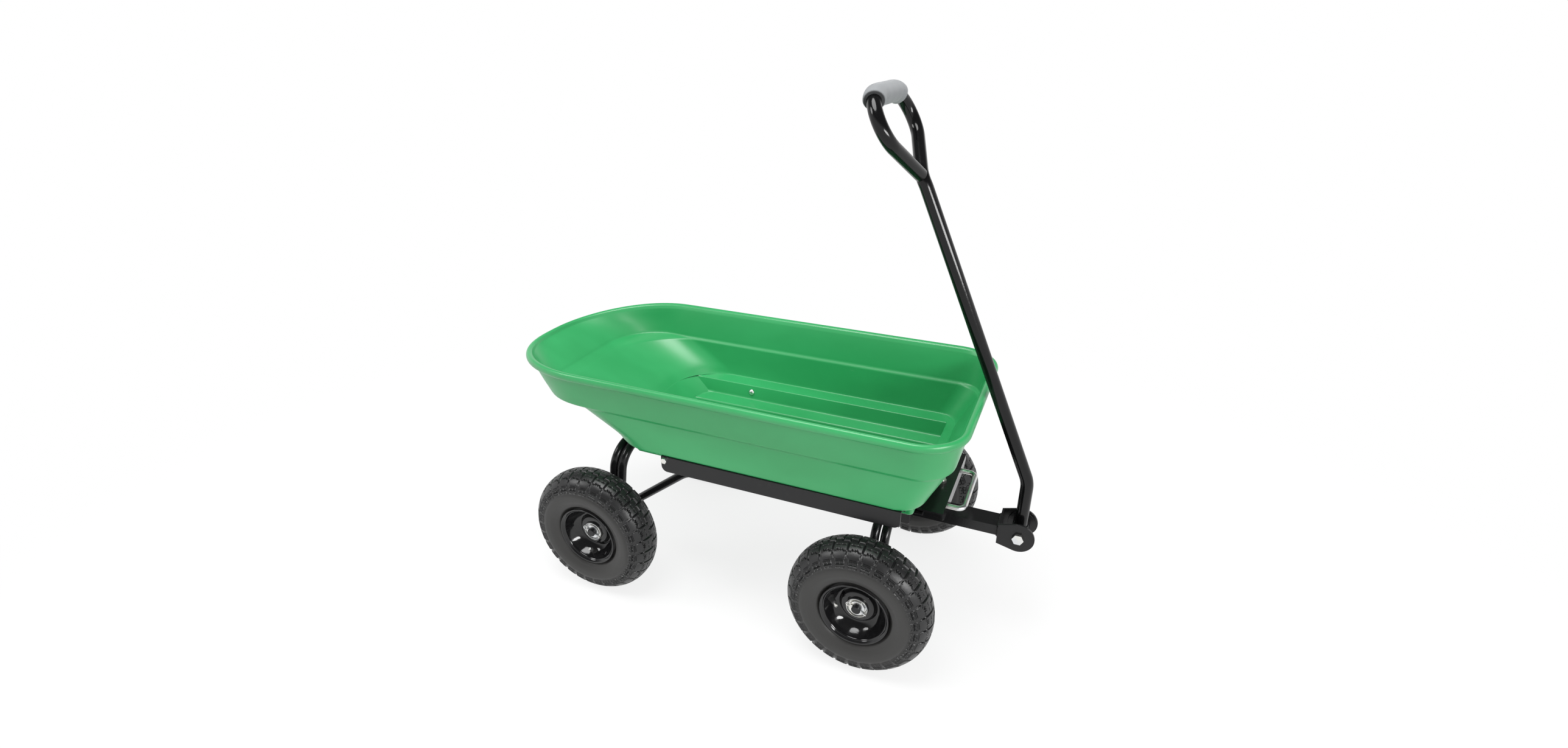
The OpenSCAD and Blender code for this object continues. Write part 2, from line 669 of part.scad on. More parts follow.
// Latch: a folded shelf on the trough's front wall, with a lip that guides the release loop
module latch_plate() {
  back_h = 20;
  back_x = trough_front;
  color(black) place() difference() {
    union() {
      translate([back_x, -latch_w2, latch_z - latch_t]) cube([latch_x, 2 * latch_w2, latch_t]);
      translate([lip_x - latch_t, -latch_w2, latch_z - latch_lip]) cube([latch_t, 2 * latch_w2, latch_lip]);
      translate([back_x, -channel_w2 + 28, latch_z - eps]) cube([latch_t, 2 * (channel_w2 - 28), back_h]);
    }
    for (side = [-1, 1])
      translate([lip_x - latch_t - 1, side * wire_w2, wire_z]) along_x()
        cylinder(d = wire_d + 2 * run, h = latch_t + 2);
    for (side = [0, 1])
      flip_y(side) translate([lip_x - latch_t - 1, latch_w2 - 22, latch_z - latch_lip]) rotate([0, 90, 0])
        linear_extrude(latch_t + 2) polygon([[1, 0], [1, 23], [-14, 23]]);
  }
}
module latch_bolt() {
  head_h = 6;
  color(zinc) place() translate([trough_front + 22, -8, 0]) {
    translate([0, 0, latch_z]) hex_head(13, head_h);
    translate([0, 0, latch_z + head_h - eps]) cylinder(d = 8, h = 4);
  }
}
// A wire bent into a closed loop, standing out of the lip
module latch_loop() {
  bend = 12;
  back_x = lip_x - latch_t - 26;
  depth = lip_x + wire_out - wire_d / 2 - back_x;
  steps = [
    [2 * (wire_w2 - bend), bend, 90, 0],
    [depth - 2 * bend, bend, 90, 0],
    [2 * (wire_w2 - bend), bend, 90, 0],
    [depth - 2 * bend, bend, 90, 0]
  ];
  color(zinc) place() translate([back_x, -wire_w2 + bend, wire_z]) rotate([-90, 0, 0]) rotate([0, 0, 0])
    bent_tube(wire_d, 0, steps);
}

// Wheel pieces, about the wheel's own axis, with +Z out of the cart
tread_n = 2.15;
function power(v) = sign(v) * pow(abs(v), 2 / tread_n);
function tyre_arc(half, high, mid, from, to, n) =
  [for (i = [0 : n]) let (a = from + (to - from) * i / n) [mid + high * power(sin(a)), half * power(cos(a))]];
seat_r = rim_r - 7.6;
dish_r = 42;
boss_r = 30;
module tyre_profile() {
  half = tyre_w / 2;
  high = (tyre_r - seat_r) / 2;
  mid = (tyre_r + seat_r) / 2;
  bead_a = -48;
  bead_y = rim_half - 5.5;
  outer = tyre_arc(half, high, mid, bead_a, 180 - bead_a, 32);
  inner = tyre_arc(half - tyre_wall, high - tyre_wall, mid, 180 - bead_a, bead_a, 24);
  polygon(concat(
    [[seat_r + run, bead_y]], outer, [[seat_r + run, -bead_y], [seat_r + run, -bead_y + 8]],
    inner, [[seat_r + run, bead_y - 8]]
  ));
}
module tyre() {
  groove_y = tyre_w * 0.13;
  color(rubber) difference() {
    rotate_extrude() tyre_profile();
    for (y = [-groove_y, groove_y])
      translate([0, 0, y - groove_w / 2]) ring(tyre_r + 5, tyre_r - groove_depth, groove_w);
  }
}
// One side of the rim's section, from the web out to the lip and in to the hub
function rim_half_path() = let (lip = rim_half, t = rim_t) [
  [dish_r + 1, 0], [dish_r + 4.5, 9.5], [seat_r, lip - 16], [seat_r, lip - 5], [seat_r + 1.6, lip - 2.9],
  [rim_r - 3, lip - 1.9], [rim_r, lip - t / 2], [rim_r, lip + 0.2], [rim_r - 3.4, lip + 0.6],
  [seat_r, lip - 1.2], [seat_r - t, lip - 4.5], [seat_r - t, lip - 15], [dish_r + 2, 10.5],
  [dish_r - 1.5, 3.2], [boss_r + 3.5, 2.6], [boss_r + 0.5, hub_out - 1.5], [boss_r - 1.5, hub_out],
  [hub_r + run, hub_out], [hub_r + run, hub_out - t], [boss_r - 2.5, hub_out - t],
  [boss_r - 1, hub_out - t - 1.2], [boss_r + 1.6, 0]
];
module rim(turn) {
  half = rim_half_path();
  other = [for (i = [len(half) - 2 : -1 : 1]) [half[i][0], -half[i][1]]];
  color(black) difference() {
    rotate_extrude() polygon(concat(half, other));
    valve_axis(turn) cylinder(r = valve_r + run, h = 4 * rim_t, center = true);
  }
}
module hub() { color(black) translate([0, 0, -hub_in]) ring(hub_r, hub_bore, hub_in + hub_out); }
// A flanged bearing in each end of the hub
module bearing_end() {
  race_r = axle_d / 2 + 3.5;
  lip_t = bearing_lip;
  rotate_extrude() polygon([
    [axle_d / 2 + run, -8], [axle_d / 2 + run, lip_t - 0.6], [race_r, lip_t - 0.6], [race_r + 0.6, lip_t - 2],
    [hub_bore - 2.4, lip_t - 2], [hub_bore - 1.8, lip_t], [hub_r - 1.2, lip_t], [hub_r - 0.4, lip_t - 0.8],
    [hub_r - 0.4, 0], [hub_bore - run, 0], [hub_bore - run, -8]
  ]);
}
module bearing() {
  color(zinc) {
    translate([0, 0, hub_out]) bearing_end();
    translate([0, 0, -hub_in]) mirror([0, 0, 1]) bearing_end();
  }
}
// The valve's line, square to the dish's sloping wall
module valve_axis(turn) {
  foot_in = [dish_r + 2, 10.5];
  foot_out = [seat_r - rim_t, rim_half - 15];
  foot = (foot_in + foot_out) / 2;
  slope = atan((foot_out[1] - foot_in[1]) / (foot_out[0] - foot_in[0]));
  rotate([0, 0, turn]) translate([foot[0], 0, foot[1]]) rotate([0, -slope, 0]) children();
}
// A rubber stem through the dish wall, with a flange behind it and a cap
module valve(turn) {
  stem = 14;
  cap = 9;
  color(rubber) valve_axis(turn) {
    translate([0, 0, -2 * rim_t - 1]) cylinder(r = valve_r + 1.5, h = 2);
    translate([0, 0, -2 * rim_t]) cylinder(r = valve_r, h = stem + 2 * rim_t);
    translate([0, 0, stem - eps]) cylinder(r = valve_r + 0.6, h = cap);
  }
}
module at_wheel(x, side) {
  place() flip_y(side) translate([x, half_track, axle_z]) along_y() children();
}

rear_axle();
rear_beam();
rear_arch_front();
rear_arch_back();
brace_left();
brace_right();
bolster();
front_rest();
rear_washers();
rear_cotters();
front_axle();
front_beam();
front_arch_front();
front_arch_back();
turntable();
kingpin();
front_washers();
front_cotters();
tongue();
clevis();
clevis_bolt();
handle_tube();
handle_bush();
handle_washers();
grip();
tub();
rail_left();
rail_right();
rail_bolts();
hinge_left();
hinge_right();
latch_plate();
latch_bolt();
latch_loop();
// Wheels: the same five pieces at each corner
for (end = [["rear", 0, rear_valve], ["front", wheelbase, front_valve]], hand = [["left", 0], ["right", 1]]) {
  wheel = str(end[0], "_", hand[0], "_");
  at_wheel(end[1], hand[1]) tyre();
  at_wheel(end[1], hand[1]) rim(end[2]);
  at_wheel(end[1], hand[1]) hub();
  at_wheel(end[1], hand[1]) bearing();
  at_wheel(end[1], hand[1]) valve(end[2]);
}
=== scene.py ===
# %% [markdown]
# # A tipping dump cart
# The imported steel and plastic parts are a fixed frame: this file dresses them and sets up the picture.
# Surfaces that show their curves, such as the tub, the tyres and the bent tubes, are worked out again
# as fine grids from the same sizes as the solids. Folded steel parts keep their own shape and get
# softened edges. Every finish is made of shader nodes.

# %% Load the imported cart
import json
from math import ceil, radians, tan

import bmesh
import bpy
import numpy as np
from mathutils import Matrix, Vector


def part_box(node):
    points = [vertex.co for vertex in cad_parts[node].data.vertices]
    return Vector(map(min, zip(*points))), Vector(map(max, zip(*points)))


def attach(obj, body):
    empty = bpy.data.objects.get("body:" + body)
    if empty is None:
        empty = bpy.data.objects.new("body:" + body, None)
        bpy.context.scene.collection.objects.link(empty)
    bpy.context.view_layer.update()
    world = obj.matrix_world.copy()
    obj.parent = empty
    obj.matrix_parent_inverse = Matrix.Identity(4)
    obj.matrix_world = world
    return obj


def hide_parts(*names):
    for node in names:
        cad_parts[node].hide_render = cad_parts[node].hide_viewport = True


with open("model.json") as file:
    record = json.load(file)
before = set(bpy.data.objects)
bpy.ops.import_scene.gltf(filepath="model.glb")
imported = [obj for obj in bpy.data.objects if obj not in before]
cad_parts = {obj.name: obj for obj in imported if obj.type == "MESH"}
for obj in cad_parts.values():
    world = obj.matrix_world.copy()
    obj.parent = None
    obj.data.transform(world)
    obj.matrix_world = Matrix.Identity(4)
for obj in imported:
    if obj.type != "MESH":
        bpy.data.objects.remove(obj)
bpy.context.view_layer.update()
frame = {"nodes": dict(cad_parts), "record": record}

NODES = frame["nodes"]
BODY = {n: b for b, group in frame["record"]["behaviour"]["bodies"].items() for n in group}
MM = 0.001
MIDDLE_X = 283.0  # the rear axle lies this far behind the cart's middle, in millimetres

# %% [markdown]
# ## Camera and light
# The camera stands where the photograph was taken from: to the cart's right, a little ahead and above.
# A wide lens this near makes the handle loom and the rear wheels shrink. The floor and the sky are white
# and soft. Two round lamps light the tub, and a wide low one in front lays a long streak on the handle.

# %% Camera
scene = bpy.context.scene
scene.view_settings.view_transform = "Standard"
FOCUS_PX, WIDTH_PX, SENSOR = 1216.5, 2576, 36.0
EYE = 808.1, -1163.2, 1021.3  # where the camera stands, in millimetres from the rear axle on the ground
azimuth, elevation = radians(23.075), radians(25.034)
back = np.array([np.sin(azimuth) * np.cos(elevation), -np.cos(azimuth) * np.cos(elevation), np.sin(elevation)])
right = np.array([np.cos(azimuth), np.sin(azimuth), 0])
pose = np.eye(4)
pose[:3, :3] = np.stack([right, np.cross(back, right), back], 1)
pose[:3, 3] = (EYE[0] - MIDDLE_X) * MM, EYE[1] * MM, EYE[2] * MM
lens = bpy.data.cameras.new("camera")
lens.sensor_width, lens.sensor_fit = SENSOR, "HORIZONTAL"
lens.lens = FOCUS_PX * SENSOR / WIDTH_PX
lens.clip_start, lens.clip_end = 0.01, 60
camera = bpy.data.objects.new("camera", lens)
scene.collection.objects.link(camera)
camera.matrix_world = Matrix(pose.tolist())
scene.camera = camera
print("lens", round(lens.lens, 2), "mm")

# %% Lamps
TUB_MIDDLE, HANDLE_MIDDLE = (0, 0, 0.3), (0.3, 0, 0.6)


def softbox(name, place, wide, tall, power, aim):
    """An oval soft lamp at a place, in metres and watts, turned to face a point on the cart."""
    lamp = bpy.data.lights.new(name, "AREA")
    lamp.shape, lamp.size, lamp.size_y, lamp.energy = "ELLIPSE", wide, tall, power
    ob = bpy.data.objects.new(name, lamp)
    scene.collection.objects.link(ob)
    ob.location = place
    ob.rotation_mode = "QUATERNION"
    ob.rotation_quaternion = (Vector(place) - Vector(aim)).to_track_quat("Z", "Y")


softbox("top_light", (-0.2, -0.5, 2.7), 1.5, 1.5, 50, TUB_MIDDLE)
softbox("side_light", (-2.3, -1.3, 2.3), 1.1, 1.1, 28, TUB_MIDDLE)
softbox("front_light", (2.2, -1.31, 1.25), 1.5, 0.5, 38, HANDLE_MIDDLE)
print("lamps", [lamp.name for lamp in bpy.data.lights])

# %% [markdown]
# ## Finishes
# A finish is a material made of nodes. The small `Val` class lets shader sums be written as plain
# Python: adding or multiplying two of them adds a Math node. `node` makes any other node.

# %% Shader sums
class Val:
    """A number that varies over a surface. Its sums and products are Math nodes."""

    def __init__(self, finish, socket):
        self.finish, self.socket = finish, socket

    def math(self, kind, a, b):
        """One Math node on two numbers, either of which may be a plain one."""
        return self.finish.node("ShaderNodeMath", {"operation": kind}, {0: a, 1: b}).val(0)

    def __add__(self, other):
        """This number plus another."""
        return self.math("ADD", self, other)

    def __sub__(self, other):
        """This number less another."""
        return self.math("SUBTRACT", self, other)

    def __rsub__(self, other):
        """Another number less this one."""
        return self.math("SUBTRACT", other, self)

    def __mul__(self, other):
        """This number times another."""
        return self.math("MULTIPLY", self, other)

    __radd__, __rmul__ = __add__, __mul__

    def step(self, low, high):
        """0 below low, 1 above high, and a smooth rise between."""
        settings = {"interpolation_type": "SMOOTHSTEP"}
        return self.finish.node("ShaderNodeMapRange", settings, {0: self, 1: low, 2: high, 3: 0.0, 4: 1.0}).val(0)


class Made:
    """A node that was made, and its outputs."""

    def __init__(self, finish, node):
        self.finish, self.raw = finish, node

    def out(self, key):
        """An output's socket, by its name or number."""
        return self.raw.outputs[key]

    def val(self, key):
        """An output as a number for sums."""
        return Val(self.finish, self.raw.outputs[key])


class Nodes:
    """A tree of nodes, and the way to add to it."""

    def __init__(self, tree):
        self.tree = tree

    def node(self, kind, settings=None, inputs=None):
        """A node of a kind, with its settings first and then the values or links of its sockets."""
        made = self.tree.nodes.new(kind)
        for key, value in (settings or {}).items():
            setattr(made, key, value)
        for key, value in (inputs or {}).items():
            self.feed(made.inputs[key], value)
        return Made(self, made)

    def feed(self, socket, value):
        """A link into a socket, or a plain value on it."""
        source = getattr(value, "socket", value)
        if isinstance(source, bpy.types.NodeSocket):
            self.tree.links.new(source, socket)
        else:
            socket.default_value = value


class Finish(Nodes):
    """A material with one Principled shader, and the record's slot that it belongs to."""

    def __init__(self, name, slot, coords="Object"):
        self.slot = slot
        self.material = bpy.data.materials.new(name)
        self.material.use_nodes = True
        super().__init__(self.material.node_tree)
        self.shader = self.tree.nodes["Principled BSDF"]
        self.place = self.node("ShaderNodeTexCoord").out(coords)

    def stretched(self, scale, turn=(0, 0, 0)):
        """The place on the surface, stretched and turned by a Mapping node."""
        return self.node("ShaderNodeMapping", None, {0: self.place, 2: turn, 3: scale}).out(0)

    def noise(self, scale, detail=2.0, rough=0.5, place=None):
        """Cloudy noise from 0 to 1, with so many lumps to a metre."""
        inputs = {"Vector": place or self.place, "Scale": scale, "Detail": detail, "Roughness": rough}
        return self.node("ShaderNodeTexNoise", None, inputs).val("Fac")

    def cells(self, scale, place=None):
        """Distance to the nearest of so many seeds to a metre."""
        return self.node("ShaderNodeTexVoronoi", None, {"Vector": place or self.place, "Scale": scale}).val("Distance")

    def mix(self, factor, a, b):
        """A colour that goes from a to b as the factor goes from 0 to 1."""
        return self.node("ShaderNodeMix", {"data_type": "RGBA"}, {0: factor, 6: a, 7: b}).out(2)

    def bump(self, height, depth, strength=1.0):
        """A bump on the shader's normal, depth in metres for a height from 0 to 1."""
        made = self.node("ShaderNodeBump", None, {"Strength": strength, "Distance": depth, "Height": height})
        self.feed(self.shader.inputs["Normal"], made.out(0))

    def set(self, **values):
        """Sockets of the shader by name, with _ for a space."""
        for key, value in values.items():
            self.feed(self.shader.inputs[key.replace("_", " ")], value)
        return self


def rgb(r, g, b):
    """A colour that isn't see-through."""
    return (r, g, b, 1.0)


# %% [markdown]
# The tub is a green moulded plastic. It has a faint grain from the mould, slow streaks of colour where
# the melt flowed, and a few pale scuffs along its length. The gloss changes a little from place to place.

# %% Tub plastic
tub_plastic = Finish("tub_plastic", "tub_green")
flow = tub_plastic.noise(3.0, 3.0, 0.55, tub_plastic.stretched((1.0, 2.2, 2.2)))
grain = tub_plastic.noise(1100.0, 2.0, 0.6)
peel = tub_plastic.noise(160.0, 1.0)
scuff = tub_plastic.noise(60.0, 4.0, 0.7, tub_plastic.stretched((0.12, 1.6, 1.6), (0.1, 0.2, 0.06))).step(0.70, 0.80)
green = tub_plastic.mix(flow.step(0.3, 0.75), rgb(0.017, 0.252, 0.073), rgb(0.025, 0.302, 0.095))
green = tub_plastic.mix(scuff * 0.22, green, rgb(0.22, 0.55, 0.32))
tub_plastic.set(Base_Color=green, Roughness=0.28 + flow * 0.08 + grain * 0.05 + scuff * 0.15, Specular_IOR_Level=0.65)
tub_plastic.bump(grain * 0.35 + peel * 0.65, 0.00010, 0.6)
print("made", tub_plastic.material.name)

# %% [markdown]
# The frame is steel with a black powder coat, which dries with a soft orange peel. The rims and the
# handle have a smoother enamel, so they mirror the studio more sharply.

# %% Black paint
powder_coat = Finish("powder_coat", "frame_black")
peel = powder_coat.noise(420.0, 2.0, 0.5)
dust = powder_coat.noise(38.0, 5.0, 0.7).step(0.56, 0.82)
powder_coat.set(
    Base_Color=powder_coat.mix(dust * 0.5, rgb(0.007, 0.007, 0.0075), rgb(0.022, 0.0215, 0.021)),
    Roughness=0.18 + peel * 0.08 + dust * 0.14, Specular_IOR_Level=0.35,
)
powder_coat.bump(peel, 0.00012, 0.5)

handle_enamel = Finish("handle_enamel", "frame_black")
peel = handle_enamel.noise(260.0, 1.0)
rub = handle_enamel.noise(46.0, 4.0, 0.65).step(0.58, 0.8)
handle_enamel.set(
    Base_Color=handle_enamel.mix(rub, rgb(0.003, 0.003, 0.0033), rgb(0.007, 0.007, 0.007)),
    Roughness=0.10 + peel * 0.04 + rub * 0.08, Specular_IOR_Level=0.32,
)
handle_enamel.bump(peel, 0.00010, 0.35)

rim_enamel = Finish("rim_enamel", "rim_black")
peel = rim_enamel.noise(180.0, 1.0)
smear = rim_enamel.noise(60.0, 4.0, 0.6).step(0.5, 0.85)
rim_enamel.set(
    Base_Color=rim_enamel.mix(smear, rgb(0.006, 0.006, 0.0065), rgb(0.014, 0.014, 0.0145)),
    Roughness=0.07 + peel * 0.04 + smear * 0.10, Specular_IOR_Level=0.5,
)
rim_enamel.bump(peel, 0.00012, 0.3)
print("made", [f.material.name for f in (powder_coat, handle_enamel, rim_enamel)])

# %% [markdown]
# Bolts, bearings and the latch wire are zinc plated: a bright metal with a grey bloom and a faint
# yellow cast where the plate is thick.

# %% Zinc plate
zinc_plate = Finish("zinc_plate", "zinc")
bloom = zinc_plate.noise(210.0, 4.0, 0.65)
cast = zinc_plate.noise(55.0, 2.0).step(0.35, 0.7)
zinc_plate.set(
    Base_Color=zinc_plate.mix(cast, rgb(0.70, 0.715, 0.73), rgb(0.80, 0.785, 0.735)),
    Metallic=1.0, Roughness=0.20 + bloom * 0.22,
)
zinc_plate.bump(bloom, 0.00006, 0.4)
print("made", zinc_plate.material.name)

# %% [markdown]
# Tyre rubber is nearly black on the tread. The sidewall is greyer, with a bloom of wax and dust. The
# tyre's own map gives the turn round the wheel and the distance from the crown across the section, so
# the bloom and the fine mould rings follow the tyre as it rolls. The grip's map gives the distance from
# its nearer end, where the foam is darkened by painted shade.

# %% Rubber and foam
tyre_rubber = Finish("tyre_rubber", "tyre_rubber")
across = tyre_rubber.node("ShaderNodeSeparateXYZ", None, {0: tyre_rubber.node("ShaderNodeTexCoord").out("UV")}).val(1)
grit = tyre_rubber.noise(900.0, 3.0, 0.65)
cloud = tyre_rubber.noise(26.0, 4.0, 0.6)
side = across.math("ABSOLUTE", across - 0.5, 0.0).step(0.22, 0.32)
worn = (side * 0.75 + cloud * 0.35).step(0.05, 1.0)
tyre_rubber.set(
    Base_Color=tyre_rubber.mix(worn, rgb(0.0065, 0.0065, 0.007), rgb(0.020, 0.0195, 0.0185)),
    Roughness=0.28 + side * 0.08 + cloud * 0.10 + grit * 0.06, Specular_IOR_Level=0.5,
)
rings = across.math("SINE", across * 900.0, 0.0)
tyre_rubber.bump(grit * 0.7 + rings * side * 0.15, 0.00016, 0.6)

valve_rubber = Finish("valve_rubber", "valve_rubber")
grit = valve_rubber.noise(1100.0, 2.0)
valve_rubber.set(
    Base_Color=valve_rubber.mix(grit, rgb(0.012, 0.012, 0.012), rgb(0.028, 0.028, 0.028)), Roughness=0.45 + grit * 0.2
)
valve_rubber.bump(grit, 0.0001, 0.4)

grip_foam = Finish("grip_foam", "grip_foam")
pores = grip_foam.cells(1500.0)
lumps = grip_foam.noise(150.0, 3.0, 0.6)
handled = grip_foam.noise(14.0, 2.0).step(0.35, 0.75)
foam = grip_foam.mix(pores.step(0.05, 0.5), rgb(0.165, 0.173, 0.180), rgb(0.195, 0.204, 0.212))
foam = grip_foam.mix(handled * 0.3, foam, rgb(0.155, 0.162, 0.168))
# Distance from the foam's nearer end, which places painted shade: the end faces and the bore are mixed towards near
# black.
shade_from_end = grip_foam.node("ShaderNodeSeparateXYZ", None, {0: grip_foam.node("ShaderNodeTexCoord").out("UV")}).val(1)
grip_foam.set(
    Base_Color=grip_foam.mix(shade_from_end.step(0.03, 0.12), rgb(0.035, 0.036, 0.038), foam), Roughness=0.80 + lumps * 0.15,
    Sheen_Weight=0.15,
)
grip_foam.bump(pores * 0.5 + lumps * 0.5, 0.0002, 0.35)
print("made", [f.material.name for f in (tyre_rubber, valve_rubber, grip_foam)])

# %% [markdown]
# ## Surfaces from grids
# A grid of points becomes a mesh by joining each point to its neighbours. Tubes are a circle carried
# along a bending table, as a tube bender would read it: a straight length, then a bend of some radius
# and angle, then the next. Wheels are profiles turned about the axle.

# %% Grids and meshes
def skin(name, grid, around=True, closed=False, capped=False, flat_map=None):
    """A mesh over a grid of points, rows by columns. The columns join round if `around`, the rows if
    `closed`, and `capped` puts a flat face on the first and the last row. `flat_map` gives a map point
    for each corner of each row, with one more column than the grid where the columns join round."""
    rows, cols = grid.shape[:2]
    i = np.arange(rows if closed else rows - 1)[:, None]
    j = np.arange(cols if around else cols - 1)[None, :]
    up, on = (i + 1) % rows, (j + 1) % cols
    quads = np.stack(np.broadcast_arrays(i * cols + j, i * cols + on, up * cols + on, up * cols + j), -1).reshape(-1, 4)
    faces = quads.tolist()
    if capped:
        faces += [np.arange(cols)[::-1].tolist(), (np.arange(cols) + (rows - 1) * cols).tolist()]
    mesh = bpy.data.meshes.new(name)
    mesh.from_pydata((grid.reshape(-1, 3) * MM).tolist(), [], faces)
    if flat_map is not None:
        row = np.stack(np.broadcast_arrays(i, i, i + 1, i + 1), -1)
        col = np.stack(np.broadcast_arrays(j, j + 1, j + 1, j), -1)
        row, col = np.broadcast_arrays(row, col)
        points = flat_map[np.minimum(row, flat_map.shape[0] - 1), col].reshape(-1, 2)
        layer = mesh.uv_layers.new(name="map")
        layer.data.foreach_set("uv", points.astype(np.float32).ravel())
    return mesh


def tidy(mesh, sharp=None):
    """Faces turned outwards and shaded smooth, with edges over an angle in degrees left sharp."""
    shape = bmesh.new()
    shape.from_mesh(mesh)
    bmesh.ops.recalc_face_normals(shape, faces=shape.faces)
    shape.to_mesh(mesh)
    shape.free()
    mesh.polygons.foreach_set("use_smooth", np.ones(len(mesh.polygons), bool))
    if sharp:
        mesh.set_sharp_from_angle(angle=radians(sharp))
    return mesh


def put(mesh, finish, body, *nodes, sharp=None):
    """A finished piece in the scene, riding on a body and standing for some nodes of the frame."""
    ob = bpy.data.objects.new(mesh.name, tidy(mesh, sharp))
    mesh.materials.append(finish.material)
    scene.collection.objects.link(ob)
    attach(ob, body)
    if nodes:
        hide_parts(*nodes)
    return ob


def walked(points):
    """The distance walked along a line, at each of its points."""
    return np.concatenate([[0], np.cumsum(np.linalg.norm(np.diff(points, axis=0), axis=1))])


def rounded(points, reach, turns=5, closed=False, legs=None):
    """A broken line with its corners eased: each corner becomes a parabola that leaves one leg at
    `reach` before the corner and joins the next leg at `reach` after it, or near the middle of a short
    leg. `legs` picks the columns that a leg's length is measured in."""
    p = np.asarray(points, float)
    reach = np.broadcast_to(np.asarray(reach, float), len(p))
    pick = slice(None) if legs is None else legs
    before, after = np.roll(p, 1, 0), np.roll(p, -1, 0)
    share = lambda q: np.minimum(0.46, reach / np.maximum(np.linalg.norm((q - p)[:, pick], axis=1), 1e-9))[:, None]
    a, b = p + (before - p) * share(before), p + (after - p) * share(after)
    t = np.linspace(0, 1, turns)[None, :, None]
    curve = (1 - t) ** 2 * a[:, None] + 2 * t * (1 - t) * p[:, None] + t ** 2 * b[:, None]
    if closed:
        return curve.reshape(-1, p.shape[1])
    return np.concatenate([p[:1], curve[1:-1].reshape(-1, p.shape[1]), p[-1:]])


# %% Tubes and turned shapes
def turn_z(a):
    """A turn by an angle about the z axis, from x towards y."""
    return np.array([[np.cos(a), -np.sin(a), 0, 0], [np.sin(a), np.cos(a), 0, 0], [0, 0, 1, 0], [0, 0, 0, 1]])


def turn_y(a):
    """A turn by an angle about the y axis, from z towards x."""
    return np.array([[np.cos(a), 0, np.sin(a), 0], [0, 1, 0, 0], [-np.sin(a), 0, np.cos(a), 0], [0, 0, 0, 1]])


def move(x, y, z):
    """A shift along the three axes."""
    m = np.eye(4)
    m[:3, 3] = x, y, z
    return m


def bent(table, start=np.eye(4), step=5.0):
    """Stations along a bending table of [length, radius, angle, roll]: a straight run goes along the
    local z axis, then the tube rolls and bends towards its local x axis. Each station is a 4 by 4 frame
    with the rolls taken back out, so that the rings along the tube don't twist."""
    here, rolled, stations = start, 0.0, []
    for length, radius, angle, roll in table:
        stations += [here @ turn_z(-rolled)]
        here = here @ move(0, 0, length)
        stations += [here @ turn_z(-rolled)]
        if angle:
            here, rolled = here @ turn_z(radians(roll)), rolled + radians(roll)
            bend = lambda a: move(radius * (1 - np.cos(a)), 0, radius * np.sin(a)) @ turn_y(a)
            angles = np.linspace(0, radians(angle), ceil(angle / step) + 1)
            stations += [here @ bend(a) @ turn_z(-rolled) for a in angles]
            here = here @ bend(radians(angle))
    stations = np.array(stations)
    gap = np.linalg.norm(np.diff(stations[:, :3, 3], axis=0), axis=1)
    return stations[np.concatenate([[True], gap > 1e-4])]


def tube(stations, radius, sides=40):
    """A circle carried along the stations: centre + radius (cos of the turn times x + sin times y).
    The radius may be one number for each station."""
    turn = np.linspace(0, 2 * np.pi, sides, endpoint=False)[None, :, None]
    r = np.broadcast_to(np.asarray(radius, float), len(stations))[:, None, None]
    x, y, centre = stations[:, None, :3, 0], stations[:, None, :3, 1], stations[:, None, :3, 3]
    return centre + r * (np.cos(turn) * x + np.sin(turn) * y)


def turned(profile, centre, side, steps=128):
    """A profile of (radius, distance outwards) turned about a wheel's axle. `side` is 1 for the left
    wheels and -1 for the right ones, where outwards is the other way."""
    turn = np.linspace(0, 2 * np.pi, steps, endpoint=False)[None, :]
    r, out = profile[:, :1], profile[:, 1:]
    x, z = centre[0] + r * np.cos(turn), centre[2] + r * np.sin(turn)
    return np.stack(np.broadcast_arrays(x, centre[1] + side * out, z), -1)


# %% [markdown]
# ## Tub
# The tub is one moulded shell. Its outline is a rectangle with round corners at every height, and a
# table says how that rectangle grows: a narrow channel, the trough, the ledges that lie on the rails,
# the sloping wall, the shoulder step and the upper wall, out to a rolled bead and back down inside.
# The rear end slopes far out, so that a load slides off when the tub tips, and its rim dips and bows.
# This end is a round bowl, which cuts off the trough and the ledges, so the ledges run out into points.
# The shoulder's corners are squarer than the bowl's, so its step is widest at the rear corners.

# %% Tub table
RIM_Z, RIM_HALF, RIM_FRONT, RIM_REAR, RIM_BOW, RIM_DROP = 457.0, 209.0, 685.0, 204.0, 30.0, 22.0
BEAD_H, BEAD_W, WALL = 15.0, 10.0, 5.0
SHOULDER_Z, SHOULDER_HALF, LEDGE_Z, LEDGE_HALF = 386.0, 189.0, 313.0, 180.0
TROUGH_Z, TROUGH_HALF, CHANNEL_Z, CHANNEL_HALF, TROUGH_FRONT = 282.0, 142.0, 267.0, 104.0, 606.0
SLOPE, LEDGE_REAR, SIDE_STEP, SLOPE_TOP = 1.22, 8.0, 5.0, -119.0
ledge_front, channel_front, shoulder_front = TROUGH_FRONT + 16, TROUGH_FRONT - 4, RIM_FRONT - 18
wall_rear, wall_front, wall_half, bead_low = RIM_REAR - BEAD_W, RIM_FRONT - BEAD_W, RIM_HALF - BEAD_W, RIM_Z - BEAD_H
rear = lambda z: LEDGE_REAR + (LEDGE_Z + 3 - z) * SLOPE
BOWL, REAR_CORNER, FRONT_CORNER = LEDGE_HALF - 3.0, 182, 70
mid_half = (SHOULDER_HALF + wall_half) / 2
